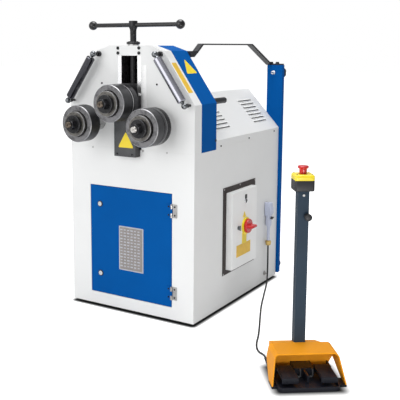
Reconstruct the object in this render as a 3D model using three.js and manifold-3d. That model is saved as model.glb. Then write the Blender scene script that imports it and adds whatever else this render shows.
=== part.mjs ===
// Ring roller: a floor-standing three-roll bending machine with its foot-switch stand.
// Millimetres, +Z up, the front faces -Y, the origin is the centre of the base on the floor.
import * as THREE from 'three';
import { mergeVertices } from 'three/addons/utils/BufferGeometryUtils.js';
import Module from 'manifold-3d';

const wasm = await Module();
wasm.setup();

// Driving dimensions. Inside the machine y runs to the rear from the front plane.

const fit = { seat: 0.3, running: 0.3, overrun: 4 };
const facets = { large: 32, medium: 24, small: 14, tiny: 8, arc: 6 };

const cabinet = { width: 640, depth: 832, floorGap: 12, sheet: 3, deckTop: 730, deckPlate: 8, rimTop: 740 };
const plinth = { inset: 20, bar: 60 };

const door = { leftMargin: 106.5, rightMargin: 108, bottom: 67.6, top: 556.5, gap: 2, sheet: 2, depth: 20 };
const hinge = {
  fromTop: 71, fromBottom: 61.9, height: 57, leaf: 26, plate: 2, knuckle: 4.5, pin: 2.2,
  knuckleShare: 1 / 3,
};
const latch = {
  inset: 51.5, fromTop: 82.5, fromBottom: 89.4, head: 10, headDepth: 3, slit: 2, stem: 5, camLength: 45,
  camWidth: 12, cam: 3,
};

const head = {
  shoulder: 930, slopeX: 171, slopeZ: 1147, crownX: 103, crownZ: 1169,
  coverDepth: 57, sheet: 3, bandEnd: 184, bandSheet: 2.5, windowX: 150, windowTop: 945,
};
const slot = { half: 60, underCrown: 42, webTop: 755, gib: 18.7 };
const bearingPlate = {
  front: 27, rearFront: 150, thickness: 30, rearInset: 20, rearShoulder: 900, rearTopX: 120, rearTop: 985,
};
const crosshead = { half: 75, front: 3.3, bossRadius: 24, bossRise: 5 };
const hood = { low: 769, ridgeX: 151, ridge: 956, sheet: 2 };
const louvre = { count: 7, lowest: 58, pitch: 21, length: 135, width: 6, frontGap: 64, rearGap: 69 };

const lowerShaft = { x: 165, z: 843 };
const upperShaftZ = 934;
const shaft = { radius: 25, shoulder: 38, thread: 12, centre: 2.5, centreDepth: 8 };
const bearing = { radius: 50, upperRadius: 40, upperWidth: 24 };
const roll = { radius: 78, chamfer: 3, groove: 2.5, grooveDepth: 3, ring: 52.5, ringDepth: 14 };
const rollSets = {
  left: { front: 153, back: 89, grooves: [], nutTurn: 40 },
  right: { front: 153, back: 52, grooves: [103, 87, 75, 67], nutTurn: 18 },
  upper: { front: 150.5, back: 44, grooves: [88, 75], nutTurn: 5 },
};
const rollNut = { washer: 38, washerDepth: 14, corner: 23, depth: 22, shaftEnd: 11, corners: 6 };
const gears = {
  module: 6, drivenTeeth: 34, pinionTeeth: 22, front: 95, width: 30, addendumShare: 0.7, dedendumShare: 1.1,
  tipShare: 0.2, rootShare: 0.42, pinionShaft: 15, pinionShaftEnd: 235,
};

const carriage = {
  half: 54, front: 35, bottom: 702, top: 960, guideBottom: 800, guideTop: 1010, flangeEnd: 88, coverPlate: 3,
};
const spindle = {
  axisY: 30, radius: 13.5, bottom: 980, shank: 52.7, hubHeight: 35, hubRadius: 18.5, hubEdge: 3,
  nutRadius: 20, collar: 28.5, collarDepth: 10,
};
const handle = { barRadius: 9, ballCentre: 222, ballRadius: 19.5, offset: 10, inBall: 12 };

const link = {
  upperX: 157, upperZ: 1133.5, lowerInset: 22, lowerZ: 930, standOff: 45, ball: 13, rod: 5.5, tube: 15.5,
  tubeStart: 27, lockNut: 8.5, lockNutDepth: 7, stud: 6, studNut: 12, studNutDepth: 14,
};
const peg = { inset: 20, z: 935, radius: 12.5, length: 105, edge: 4 };

const gearbox = { left: 60, right: 95, bottom: 818, top: 932, end: 330 };
const motor = {
  x: 50, y: 264, flange: 80, flangeDepth: 12, body: 70, bodyBottom: 560, cowl: 73, cowlBottom: 490,
  deckHole: 90, boxWidth: 90, boxDepth: 50, boxBottom: 610, boxTop: 700,
};

// The control box's own y runs to the rear from its flange's rear edge.
const control = {
  rearGap: 262, front: -319, rear: 0, bottom: 155, top: 551, plate: 2, tubFront: -285, tubRear: -34,
  tubBottom: 183, tubTop: 523, tubDepth: 90, backPlate: 3,
};
const contactor = {
  width: 45, height: 85, depth: 60, count: 3, pitch: 62, z: 380, railHeight: 24, railDepth: 26, railZ: 240,
};
const lid = {
  front: -290, rear: -43, bottom: 178, top: 526, depth: 30, sheet: 2, hingeOut: 7, hingeUp: 8,
  knuckle: 5.5, knuckleHeight: 40, lug: 14, web: 6, knuckleShares: [0.15, 0.75],
};
const mainSwitch = {
  y: -159, z: 358, collar: 33, collarDepth: 8, knob: 30, knobDepth: 13, grip: 54, gripWidth: 12, gripDepth: 26,
};
const lidLock = { y: -231, z: 361, radius: 9, depth: 6, wing: 24, wingWidth: 6, wingDepth: 7 };

const socket = { standOff: 18, fromRear: 136, radius: 16, top: 413, split: 350 };
const plug = { radius: 14.5, shoulder: 306, stem: 7.5, stemBottom: 224 };
const plugLever = { z: 338, arm: 5, length: 34, hub: 7, standOff: 1.5 };
const gland = { radius: 11, bottom: 200, top: 222 };

const post = { inset: 68, proud: 13, depth: 24, sheet: 3, bottom: 24, top: 1076 };
const bow = {
  width: 28, thickness: 6, pastSlope: 5, footBottom: 1120, footRun: 30, footTop: 1146, headRun: 51,
  rise: 1178, riseRun: 92, fallRun: 178, endIn: 10, tab: 78,
};
const rearKnob = { inset: 23, z: 1037, radius: 34, depth: 22, stem: 7, standOff: 11 };
const bumper = { inset: 14, z: 60, radius: 21, depth: 26, edge: 5 };

const stand = {
  x: 960.5, y: -298, yaw: 36,
  width: 215, centre: -6, depth: 205, corner: 18, floor: 8, rim: 16, wall: 3.5,
  block: 62, recessRear: 60, blockHalf: 92, blockBehind: 21,
  ribHalf: 4, ribFront: 50, ribTop: 34, housingHalf: 36, housingFront: 112, housingTop: 36,
};
const pedal = {
  inner: 40, outer: 97, front: 27, rear: 140, pivotAhead: 75, pivotZ: 29, thickness: 9, top: 38,
  nose: 3, lip: 4, lipBottom: 19, axle: 4, axleHub: 7, cheek: 4.2,
};
const guard = {
  topHalf: 113, footHalf: 131, footZ: 8, footFront: 32, footRear: 90, sheet: 4, roof: 105, front: 80,
  wallRear: 180, knee: 56, tuck: 100, cornerRise: 12, cornerIn: 3.5,
  coverLeft: -104, coverRight: 80, coverTaper: 15, coverDrop: 10,
};
const column = { half: 20, ahead: 2, wall: 2.5, top: 662 };
const columnKnob = { x: 14, z: 570, radius: 13, depth: 26, edge: 3 };
const stopBox = { half: 35.5, caseTop: 700, lidTop: 721, edge: 5 };
const stopButton = {
  stem: 11, cap: 19.5, capBottom: 742, top: 750, edge: 2.5, neck: 13.5, neckBottom: 727, sunk: 12,
};
const relief = { inset: 6, z: 13, root: 7.5, tip: 6, length: 52 };

const cord = { radius: 4, facets: 10, mostSteps: 80, stepShare: 2.5, sagShare: 2.2 };
// The lead's route in the machine's own axes, from the gland down, over the floor and into the stand.
const cordRoute = [
  [338, 696, 199.7], [338, 696, 170], [338, 696.5, 130], [338, 696.5, 90], [338, 695, 55], [339.5, 689, 27],
  [344.5, 674, 10.5], [352, 652, 5], [362, 625, 4.2], [383, 568, 4.2], [404, 512, 4.2], [430, 442, 4.2],
  [463, 358, 4.2], [498, 276, 4.2], [533, 196, 4.2], [568, 116, 4.2], [596, 48, 4.2], [617, -9, 4.2],
  [634, -47, 4.2], [652, -77, 4.2], [671, -98, 5.2], [690, -114, 8.6],
];
const cordLeadIn = [26, 12, 5, 0];

// Colours and finishes
const finish = (color, roughness, metalness) => new THREE.MeshStandardMaterial({ color, roughness, metalness });
const finishes = {
  white: finish(0xe4e5e4, 0.45, 0), blue: finish(0x0a58a4, 0.4, 0), black: finish(0x1a1b1d, 0.5, 0.1),
  steel: finish(0xa9abad, 0.35, 0.9), chrome: finish(0xd8dade, 0.15, 1), oxide: finish(0x2c2d2f, 0.4, 0.8),
  rollSteel: finish(0x6c6c6e, 0.35, 0.9), brass: finish(0xb08a45, 0.3, 0.9),
  brown: finish(0x3a2b27, 0.5, 0.1), yellow: finish(0xf0cf1c, 0.4, 0), red: finish(0xb51721, 0.35, 0),
  orange: finish(0xf0a21d, 0.4, 0), slate: finish(0x303a44, 0.45, 0.2), pale: finish(0xb9c2da, 0.35, 0),
  motorGrey: finish(0x55606a, 0.5, 0.2), plate: finish(0x6b6b6a, 0.4, 0.6), cord: finish(0x202022, 0.6, 0),
};

// Solids

function toSolid(geometry) {
  const bare = geometry.clone();
  bare.deleteAttribute('normal');
  bare.deleteAttribute('uv');
  const merged = mergeVertices(bare);
  const vertProperties = new Float32Array(merged.attributes.position.array);
  const triVerts = new Uint32Array(merged.index.array);
  return new wasm.Manifold(new wasm.Mesh({ numProp: 3, vertProperties, triVerts }));
}

function toGeometry(solid) {
  const mesh = solid.getMesh();
  const geometry = new THREE.BufferGeometry();
  geometry.setAttribute('position', new THREE.BufferAttribute(new Float32Array(mesh.vertProperties), 3));
  geometry.setIndex(new THREE.BufferAttribute(new Uint32Array(mesh.triVerts), 1));
  geometry.computeVertexNormals();
  return geometry;
}

const joined = (...geometries) => geometries.map(toSolid).reduce((whole, next) => whole.add(next));
const cut = (solid, ...geometries) =>
  geometries.map(toSolid).reduce((left, next) => left.subtract(next), solid);

function block([x0, x1], [y0, y1], [z0, z1]) {
  const geometry = new THREE.BoxGeometry(x1 - x0, y1 - y0, z1 - z0);
  return geometry.translate((x0 + x1) / 2, (y0 + y1) / 2, (z0 + z1) / 2);
}

// A closed profile of [radius, height] points, turned about the named axis.
function turned(profile, axis = 'z', sides = facets.medium) {
  const geometry = new THREE.LatheGeometry(profile.map(([r, h]) => new THREE.Vector2(r, h)), sides);
  if (axis === 'z') geometry.rotateX(Math.PI / 2);
  if (axis === 'x') geometry.rotateZ(-Math.PI / 2);
  return geometry;
}

const rod = (axis, radius, from, to, sides = facets.medium) =>
  turned([[0, from], [radius, from], [radius, to], [0, to]], axis, sides);
const ring = (axis, inner, outer, from, to, sides = facets.medium) =>
  turned([[inner, from], [outer, from], [outer, to], [inner, to], [inner, from]], axis, sides);

// An outline of [x, z] points, extruded along y.
function prism(outline, from, to) {
  const shape = new THREE.Shape(outline.map(([x, z]) => new THREE.Vector2(x, z)));
  const geometry = new THREE.ExtrudeGeometry(shape, { depth: to - from, bevelEnabled: false });
  return geometry.rotateX(Math.PI / 2).translate(0, to, 0);
}

// A side view of [y, z] points, extruded along x.
function sideways(profile, from, to) {
  const shape = new THREE.Shape(profile.map(([y, z]) => new THREE.Vector2(y, z)));
  const geometry = new THREE.ExtrudeGeometry(shape, { depth: to - from, bevelEnabled: false });
  return geometry.rotateX(Math.PI / 2).rotateZ(Math.PI / 2).translate(from, 0, 0);
}

// A plan of [x, y] points, extruded upwards.
function plate(plan, from, to) {
  const shape = new THREE.Shape(plan.map(([x, y]) => new THREE.Vector2(x, y)));
  const geometry = new THREE.ExtrudeGeometry(shape, { depth: to - from, bevelEnabled: false });
  return geometry.translate(0, 0, from);
}

// The same convex outline drawn in by a wall, edge by edge.
function drawnIn(outline, wall) {
  const count = outline.length;
  const edges = outline.map(([x0, z0], index) => {
    const [x1, z1] = outline[(index + 1) % count];
    const length = Math.hypot(x1 - x0, z1 - z0);
    const normal = [-(z1 - z0) / length, (x1 - x0) / length];
    return { normal, reach: normal[0] * x0 + normal[1] * z0 + wall };
  });
  return edges.map((edge, index) => {
    const before = edges[(index + count - 1) % count];
    const det = before.normal[0] * edge.normal[1] - before.normal[1] * edge.normal[0];
    return [
      (before.reach * edge.normal[1] - edge.reach * before.normal[1]) / det,
      (before.normal[0] * edge.reach - edge.normal[0] * before.reach) / det,
    ];
  });
}

const mirroredX = (points) => [...points, ...points.map(([x, z]) => [-x, z]).reverse()];

// The object and its groups

const ringRoller = new THREE.Group();
const machine = new THREE.Group();
machine.position.y = -cabinet.depth / 2;
ringRoller.add(machine);

function piece(name, shape, material, [x, y, z] = [0, 0, 0], parent = machine) {
  const geometry = shape.isBufferGeometry ? shape : toGeometry(shape);
  const mesh = new THREE.Mesh(geometry, material);
  mesh.name = name;
  mesh.position.set(x, y, z);
  parent.add(mesh);
  return mesh;
}

// Cabinet: plinth, shell, door, hinges and latches

const side = cabinet.width / 2;
const [doorLeft, doorRight] = [side - door.leftMargin, side - door.rightMargin];
const latchX = doorLeft - latch.inset;
const [latchUpper, latchLower] = [door.top - latch.fromTop, door.bottom + latch.fromBottom];
const [hingeUpper, hingeLower] = [door.top - hinge.fromTop, door.bottom + hinge.fromBottom];
const controlRear = cabinet.depth - control.rearGap;

function makePlinth() {
  const half = side - plinth.inset;
  const [front, rear] = [plinth.inset, cabinet.depth - plinth.inset];
  const top = cabinet.floorGap - fit.seat;
  const opening = (x0, x1) =>
    block([x0, x1], [front + plinth.bar, rear - plinth.bar], [-fit.overrun, top + fit.overrun]);
  const frame = cut(
    joined(block([-half, half], [front, rear], [0, top])),
    opening(-half + plinth.bar, -plinth.bar / 2),
    opening(plinth.bar / 2, half - plinth.bar),
  );
  piece('base_plinth', frame, finishes.black);
}

function makeShell() {
  const { depth, floorGap, sheet, deckTop, deckPlate, rimTop } = cabinet;
  const innerX = side - sheet;
  const rimFront = head.bandEnd + fit.seat;
  const shell = cut(
    joined(block([-side, side], [0, depth], [floorGap, rimTop - fit.seat])),
    block([-innerX, innerX], [sheet, depth - sheet], [floorGap + sheet, deckTop - deckPlate]),
    block([-side - fit.overrun, side + fit.overrun], [-fit.overrun, rimFront], [deckTop, rimTop]),
    block([-innerX, innerX], [rimFront - fit.overrun, depth - sheet], [deckTop, rimTop]),
    block(
      [-doorLeft - door.gap, doorRight + door.gap], [-fit.overrun, sheet + fit.overrun],
      [door.bottom - door.gap, door.top + door.gap],
    ),
    block(
      [innerX - fit.overrun, side + fit.overrun],
      [controlRear + control.tubFront - fit.seat, controlRear + control.tubRear + fit.seat],
      [control.tubBottom - fit.seat, control.tubTop + fit.seat],
    ),
    rod('z', motor.deckHole, deckTop - deckPlate - fit.overrun, deckTop + fit.overrun)
      .translate(motor.x, motor.y, 0),
  );
  piece('cabinet_shell', shell, finishes.white);
}

function makeDoor() {
  const { bottom, top, sheet, depth } = door;
  const latchHole = (z) =>
    rod('y', latch.stem + fit.running, -fit.overrun, sheet + fit.overrun, facets.small)
      .translate(-latchX, 0, z);
  const panel = cut(
    joined(block([-doorLeft, doorRight], [0, depth], [bottom, top])),
    block([-doorLeft + sheet, doorRight - sheet], [sheet, depth + fit.overrun], [bottom + sheet, top - sheet]),
    latchHole(latchUpper), latchHole(latchLower),
  );
  piece('door_panel', panel.add(doorLeaf(hingeUpper)).add(doorLeaf(hingeLower)), finishes.blue);
}

const hingeX = doorRight + door.gap / 2;
const hingeY = -fit.seat - hinge.knuckle;

const knuckleRod = (radius, from, to) =>
  rod('z', radius, from, to, facets.small).translate(hingeX, hingeY, 0);

// The half with the pin, which stays on the cabinet.
function makeHinge(name, z) {
  const [bottom, top] = [z - hinge.height / 2, z + hinge.height / 2];
  const third = hinge.height * hinge.knuckleShare;
  const clear = hinge.knuckle + fit.running;
  const body = cut(
    joined(
      block(
        [hingeX + hinge.knuckle / 2, hingeX + hinge.leaf], [-fit.seat - hinge.plate, -fit.seat],
        [bottom, top],
      ),
      knuckleRod(hinge.knuckle, bottom, top),
    ),
    block([hingeX - clear, hingeX + clear], [hingeY - clear, hingeY + clear], [bottom + third, top - third]),
  );
  piece(name, body.add(toSolid(knuckleRod(hinge.pin, bottom, top))), finishes.steel);
}

// The half that is part of the door: a leaf and the middle knuckle.
function doorLeaf(z) {
  const [bottom, top] = [z - hinge.height / 2, z + hinge.height / 2];
  const third = hinge.height * hinge.knuckleShare;
  const clear = hinge.knuckle + fit.running;
  const middle = [bottom + third + fit.running, top - third - fit.running];
  const leaf = joined(
    block(
      [hingeX - hinge.leaf, hingeX - hinge.knuckle / 2], [-fit.seat - hinge.plate, door.sheet / 2],
      [bottom, top],
    ),
  );
  const notches = [[bottom - fit.overrun, middle[0]], [middle[1], top + fit.overrun]];
  return cut(
    cut(leaf, ...notches.map((span) =>
      block([hingeX - clear, hingeX], [hingeY - clear, door.sheet], span)))
      .add(toSolid(knuckleRod(hinge.knuckle, ...middle))),
    knuckleRod(hinge.pin + fit.running, bottom, top),
  );
}

function makeLatch(name, z) {
  const camStart = door.depth + latch.cam;
  const key = joined(
    rod('y', latch.head, -fit.seat - latch.headDepth, -fit.seat, facets.small),
    rod('y', latch.stem, -fit.seat - latch.headDepth / 2, camStart + latch.cam, facets.small),
    block(
      [-latch.camLength, latch.camWidth / 2], [camStart, camStart + latch.cam],
      [-latch.camWidth / 2, latch.camWidth / 2],
    ),
  );
  const slitBottom = -fit.seat - latch.headDepth / 2;
  const slit = block(
    [-latch.head / 2, latch.head / 2], [slitBottom - latch.headDepth - fit.overrun, slitBottom],
    [-latch.slit / 2, latch.slit / 2],
  );
  piece(name, cut(key, slit), finishes.chrome, [-latchX, 0, z]);
}

// Head: front cover, bearing plates, gibs, crosshead, blue cover and hood

const headOutline = (bottom) => mirroredX([
  [side, bottom], [side, head.shoulder], [head.slopeX, head.slopeZ], [head.crownX, head.crownZ],
]);
const hoodOutline = (bottom) => mirroredX([[side, bottom], [side, hood.low], [hood.ridgeX, hood.ridge]]);
const headBottom = cabinet.deckTop + fit.seat;
const slotTop = head.crownZ - slot.underCrown;

const slotWindow = (y0, y1, bottom = headBottom - fit.overrun) =>
  block([-slot.half, slot.half], [y0, y1], [bottom, slotTop]);

function shaftHoles(radius, y0, y1) {
  return [-lowerShaft.x, lowerShaft.x].map((x) => rod('y', radius, y0, y1).translate(x, 0, lowerShaft.z));
}

function makeFrontCover() {
  const lowered = headBottom - head.sheet - fit.overrun;
  const cover = cut(
    joined(prism(headOutline(headBottom), 0, head.coverDepth)),
    prism(drawnIn(headOutline(lowered), head.sheet), head.sheet, head.coverDepth + fit.overrun),
    slotWindow(-fit.overrun, head.sheet + fit.overrun),
    ...shaftHoles(shaft.shoulder + fit.seat, -fit.overrun, head.sheet + fit.overrun),
    rod(
      'z', crosshead.bossRadius + fit.running, head.crownZ - head.sheet - fit.overrun,
      head.crownZ + fit.overrun,
    ).translate(0, spindle.axisY, 0),
  );
  piece('head_front_cover', cover, finishes.white);
}

function makeFrontBearingPlate() {
  const [front, rear] = [bearingPlate.front, bearingPlate.front + bearingPlate.thickness];
  const inner = drawnIn(headOutline(headBottom - head.sheet - fit.seat), head.sheet + fit.seat);
  const pocket = crosshead.half + fit.seat;
  const plate = cut(
    joined(prism(inner, front, rear)),
    slotWindow(front - fit.overrun, rear + fit.overrun, slot.webTop),
    block([-pocket, pocket], [front - fit.overrun, rear + fit.overrun], [slotTop, head.crownZ]),
    ...shaftHoles(bearing.radius + fit.seat, front - fit.overrun, rear + fit.overrun),
  );
  piece('front_bearing_plate', plate, finishes.steel);
}

function makeRearBearingPlate() {
  const [front, rear] = [bearingPlate.rearFront, bearingPlate.rearFront + bearingPlate.thickness];
  const edge = side - bearingPlate.rearInset;
  const outline = mirroredX([
    [edge, headBottom], [edge, bearingPlate.rearShoulder], [bearingPlate.rearTopX, bearingPlate.rearTop],
  ]);
  const plate = cut(
    joined(prism(outline, front, rear)),
    ...shaftHoles(shaft.radius + fit.running, front - fit.overrun, rear + fit.overrun),
    rod('y', gears.pinionShaft + fit.overrun, front - fit.overrun, rear + fit.overrun).translate(0, 0, pinionZ),
  );
  piece('rear_bearing_plate', plate, finishes.steel);
}

function makeGibs() {
  const gib = (x0, x1) => block([x0, x1], [0, head.coverDepth], [slot.webTop + fit.seat, slotTop - fit.seat]);
  const outer = slot.half - fit.seat;
  piece('slide_gib_left', gib(-outer, -outer + slot.gib), finishes.steel);
  piece('slide_gib_right', gib(outer - slot.gib, outer), finishes.steel);
}

const crossheadBottom = slotTop + fit.seat;
const crossheadTop = head.crownZ - head.sheet - fit.seat;
const bossTop = head.crownZ + crosshead.bossRise;
const collarTop = bossTop + fit.seat + spindle.collarDepth;
const hubBottom = collarTop + spindle.shank;
const hubTop = hubBottom + spindle.hubHeight;
const handleHeight = (hubBottom + hubTop) / 2;

function makeCrosshead() {
  const rear = bearingPlate.front + bearingPlate.thickness - fit.seat;
  const body = cut(
    joined(
      block([-crosshead.half, crosshead.half], [crosshead.front, rear], [crossheadBottom, crossheadTop]),
      rod('z', crosshead.bossRadius, crossheadBottom, bossTop).translate(0, spindle.axisY, 0),
    ),
    rod('z', spindle.nutRadius + fit.seat, crossheadBottom - fit.overrun, bossTop + fit.overrun)
      .translate(0, spindle.axisY, 0),
  );
  piece('crosshead_block', body, finishes.steel);
  const [inner, nut, collar] = [spindle.radius + fit.running, spindle.nutRadius, spindle.collar];
  const [low, seat] = [crossheadBottom, bossTop + fit.seat];
  const bush = turned([
    [inner, low], [nut, low], [nut, seat], [collar, seat], [collar, collarTop], [inner, collarTop],
    [inner, low],
  ]);
  piece('spindle_nut', bush, finishes.black, [0, spindle.axisY, 0]);
}

function makeBlueCover() {
  const front = head.coverDepth + fit.seat;
  const lowered = headBottom - head.bandSheet - fit.overrun;
  const cover = cut(
    joined(prism(headOutline(headBottom), front, head.bandEnd)),
    prism(drawnIn(headOutline(lowered), head.bandSheet), front - fit.overrun, head.bandEnd - head.bandSheet),
    block(
      [-head.windowX, head.windowX], [head.bandEnd - head.bandSheet - fit.overrun, head.bandEnd + fit.overrun],
      [headBottom - fit.overrun, head.windowTop],
    ),
  );
  piece('head_side_cover', cover.add(toSolid(pegGeometry())), finishes.blue);
}

function makeHood() {
  const front = head.bandEnd + fit.seat;
  const lowered = cabinet.rimTop - hood.sheet - fit.overrun;
  const slope = Math.atan2(hood.ridge - hood.low, side - hood.ridgeX);
  const louvreStarts = [head.bandEnd + louvre.frontGap, cabinet.depth - louvre.rearGap - louvre.length];
  const slots = [];
  for (const mirror of [1, -1]) {
    for (const start of louvreStarts) {
      for (let index = 0; index < louvre.count; index += 1) {
        const along = louvre.lowest + index * louvre.pitch;
        const [x, z] = [side - along * Math.cos(slope), hood.low + along * Math.sin(slope)];
        const slit = new THREE.BoxGeometry(louvre.width, louvre.length, (hood.sheet + fit.overrun) * 2);
        slots.push(slit.rotateY(mirror * slope).translate(mirror * x, start + louvre.length / 2, z));
      }
    }
  }
  const shell = cut(
    joined(prism(hoodOutline(cabinet.rimTop), front, cabinet.depth)),
    prism(drawnIn(hoodOutline(lowered), hood.sheet), front - fit.overrun, cabinet.depth - hood.sheet),
    ...slots,
  );
  piece('rear_hood', shell, finishes.white);
}

// Rolls, shafts and gears. Each set turns about its own axis, which runs along y.

const centreDistance = gears.module * (gears.drivenTeeth + gears.pinionTeeth) / 2;
const pinionRise = Math.sqrt(centreDistance ** 2 - lowerShaft.x ** 2);
const pinionZ = lowerShaft.z + pinionRise;
const shaftRear = bearingPlate.rearFront + bearingPlate.thickness;

function rollGeometry({ front, back, grooves }) {
  const bore = shaft.radius + fit.seat;
  const low = roll.radius - roll.grooveDepth;
  const outer = [[roll.radius - roll.chamfer, -front], [roll.radius, -front + roll.chamfer]];
  for (const groove of grooves) {
    outer.push([roll.radius, -groove - roll.groove / 2], [low, -groove - roll.groove / 2]);
    outer.push([low, -groove + roll.groove / 2], [roll.radius, -groove + roll.groove / 2]);
  }
  outer.push([roll.radius, -back - roll.chamfer], [roll.radius - roll.chamfer, -back]);
  const nose = -front - roll.ringDepth;
  return turned(
    [[bore, nose], [roll.ring, nose], [roll.ring, -front], ...outer, [bore, -back], [bore, nose]],
    'y', facets.large,
  );
}

function shaftGeometry({ front, back }, shoulderEnd, rear) {
  const seat = -front - roll.ringDepth;
  const tip = seat - fit.seat - rollNut.washerDepth - rollNut.depth - rollNut.shaftEnd;
  return turned([
    [0, tip + shaft.centreDepth], [shaft.centre, tip + shaft.centreDepth], [shaft.centre, tip],
    [shaft.thread, tip], [shaft.thread, seat], [shaft.radius, seat], [shaft.radius, -back + fit.seat],
    [shaft.shoulder, -back + fit.seat], [shaft.shoulder, shoulderEnd], [shaft.radius, shoulderEnd],
    [shaft.radius, rear], [0, rear],
  ], 'y');
}

// A hexagon nut in one piece with its round washer, turned to nutTurn about the shaft.
function nutGeometry({ front, nutTurn }) {
  const seat = -front - roll.ringDepth - fit.seat;
  const step = seat - rollNut.washerDepth;
  const corners = Array.from({ length: rollNut.corners }, (_, index) => {
    const angle = THREE.MathUtils.degToRad(nutTurn) + 2 * Math.PI * index / rollNut.corners;
    return [rollNut.corner * Math.cos(angle), rollNut.corner * Math.sin(angle)];
  });
  return cut(
    joined(
      prism(corners, step - rollNut.depth, step + rollNut.washerDepth / 2),
      rod('y', rollNut.washer, step, seat),
    ),
    rod('y', shaft.thread + fit.running, step - rollNut.depth - fit.overrun, seat + fit.overrun),
  );
}

// Straight-flanked teeth, thin enough to run free in the mesh; the first tooth is centred on phase.
function gearGeometry(teeth, phase) {
  const pitchRadius = gears.module * teeth / 2;
  const tip = pitchRadius + gears.addendumShare * gears.module;
  const root = pitchRadius - gears.dedendumShare * gears.module;
  const step = 2 * Math.PI / teeth;
  const at = (radius, angle) => new THREE.Vector2(radius * Math.cos(angle), radius * Math.sin(angle));
  const points = [];
  for (let tooth = 0; tooth < teeth; tooth += 1) {
    const middle = phase + tooth * step;
    const [rootHalf, tipHalf] = [step * gears.rootShare / 2, step * gears.tipShare / 2];
    points.push(at(root, middle - rootHalf), at(tip, middle - tipHalf));
    points.push(at(tip, middle + tipHalf), at(root, middle + rootHalf));
  }
  const shape = new THREE.Shape(points);
  const geometry = new THREE.ExtrudeGeometry(shape, { depth: gears.width, bevelEnabled: false });
  return geometry.rotateX(Math.PI / 2).translate(0, gears.front + gears.width, 0);
}

// The pinion has a tooth straight up, so both gears, mirror images, mesh with it alike.
const meshAngle = Math.atan2(pinionRise, lowerShaft.x);
const pinionStep = 2 * Math.PI / gears.pinionTeeth;
const pinionPhase = Math.PI / 2;
const towardsRight = -meshAngle;
const nearestTooth = Math.round((towardsRight - pinionPhase) / pinionStep) * pinionStep + pinionPhase;
const pinionOffset = nearestTooth - towardsRight;
const rightGap = Math.PI - meshAngle - pinionOffset * gears.pinionTeeth / gears.drivenTeeth;
const drivenStep = 2 * Math.PI / gears.drivenTeeth;

function makeLowerSet(sideName, sign, set) {
  const place = [sign * lowerShaft.x, 0, lowerShaft.z];
  const rightPhase = rightGap + drivenStep / 2;
  const phase = sign > 0 ? rightPhase : Math.PI - rightPhase;
  piece(`lower_${sideName}_roll`, rollGeometry(set), finishes.rollSteel, place);
  piece(`lower_${sideName}_nut`, nutGeometry(set), finishes.oxide, place);
  const geared = joined(shaftGeometry(set, 0, shaftRear), gearGeometry(gears.drivenTeeth, phase));
  piece(`lower_${sideName}_shaft`, geared, finishes.steel, place);
}

function makeLowerBearing(name, x) {
  const { front, thickness } = bearingPlate;
  const race = ring('y', shaft.radius + fit.running, bearing.radius, front, front + thickness);
  piece(name, race, finishes.steel, [x, 0, lowerShaft.z]);
}

function makePinion() {
  const wheel = joined(
    gearGeometry(gears.pinionTeeth, pinionPhase),
    rod('y', gears.pinionShaft, gears.front + gears.width / 2, gears.pinionShaftEnd),
  );
  piece('drive_pinion', wheel, finishes.steel, [0, 0, pinionZ]);
}

// Carriage of the upper roll

function makeCarriage() {
  const { half, front, bottom, top, guideBottom, guideTop, flangeEnd, coverPlate } = carriage;
  const guideHalf = slot.half - fit.seat - slot.gib - fit.running;
  const behind = head.coverDepth + fit.running;
  const along = (radius, y0, y1) => rod('y', radius, y0, y1).translate(0, 0, upperShaftZ);
  const body = cut(
    joined(
      block([-half, half], [-front, -fit.running], [bottom, top]),
      block([-guideHalf, guideHalf], [-front / 2, flangeEnd], [guideBottom, guideTop]),
      block([-half, half], [behind, flangeEnd], [guideBottom, guideTop]),
    ),
    block([-half, half], [-front - fit.overrun, -fit.running], [top, guideTop + fit.overrun]),
    along(shaft.radius + fit.running, -front - fit.overrun, flangeEnd + fit.overrun),
    along(bearing.upperRadius + fit.seat, -front - fit.overrun, -front + bearing.upperWidth),
    rod('z', spindle.radius + fit.running * 2, spindle.bottom - fit.seat, guideTop + fit.overrun)
      .translate(0, spindle.axisY, 0),
  );
  piece('slide_block', body, finishes.steel);
  const plate = cut(
    joined(block([-half, half], [-front - fit.seat - coverPlate, -front - fit.seat], [bottom, top])),
    along(shaft.shoulder + fit.overrun, -front - coverPlate - fit.overrun, -front + fit.overrun),
  );
  piece('slide_cover_plate', plate, finishes.plate);
  const race = ring(
    'y', shaft.radius + fit.running, bearing.upperRadius, -front, -front + bearing.upperWidth - fit.seat,
  );
  piece('upper_bearing', race, finishes.steel, [0, 0, upperShaftZ]);
}

function makeUpperSet() {
  const place = [0, 0, upperShaftZ];
  piece('upper_roll', rollGeometry(rollSets.upper), finishes.rollSteel, place);
  piece('upper_nut', nutGeometry(rollSets.upper), finishes.oxide, place);
  piece(
    'upper_shaft', shaftGeometry(rollSets.upper, -carriage.front - fit.seat, carriage.flangeEnd - fit.seat),
    finishes.steel, place,
  );
}

function makeSpindle() {
  const { radius, bottom, hubRadius, hubEdge } = spindle;
  const screwBody = cut(
    joined(turned([
      [0, bottom], [radius, bottom], [radius, hubBottom], [hubRadius - hubEdge, hubBottom],
      [hubRadius, hubBottom + hubEdge], [hubRadius, hubTop - hubEdge], [hubRadius - hubEdge, hubTop],
      [0, hubTop],
    ])),
    rod('x', handle.barRadius + fit.running, -hubRadius - fit.overrun, hubRadius + fit.overrun)
      .translate(0, 0, handleHeight),
  );
  const place = [0, spindle.axisY, 0];
  piece('spindle', screwBody, finishes.oxide, place);
  const reach = handle.ballCentre - handle.ballRadius + handle.inBall;
  const ball = (sign) => new THREE.SphereGeometry(handle.ballRadius, facets.medium, facets.small)
    .translate(sign * handle.ballCentre, 0, 0);
  const bar = joined(rod('x', handle.barRadius, -reach, reach, facets.small), ball(-1), ball(1));
  piece('handle_bar', bar, finishes.black, [handle.offset, spindle.axisY, handleHeight]);
}

// Side links, their studs, and the peg for spare rolls

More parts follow.
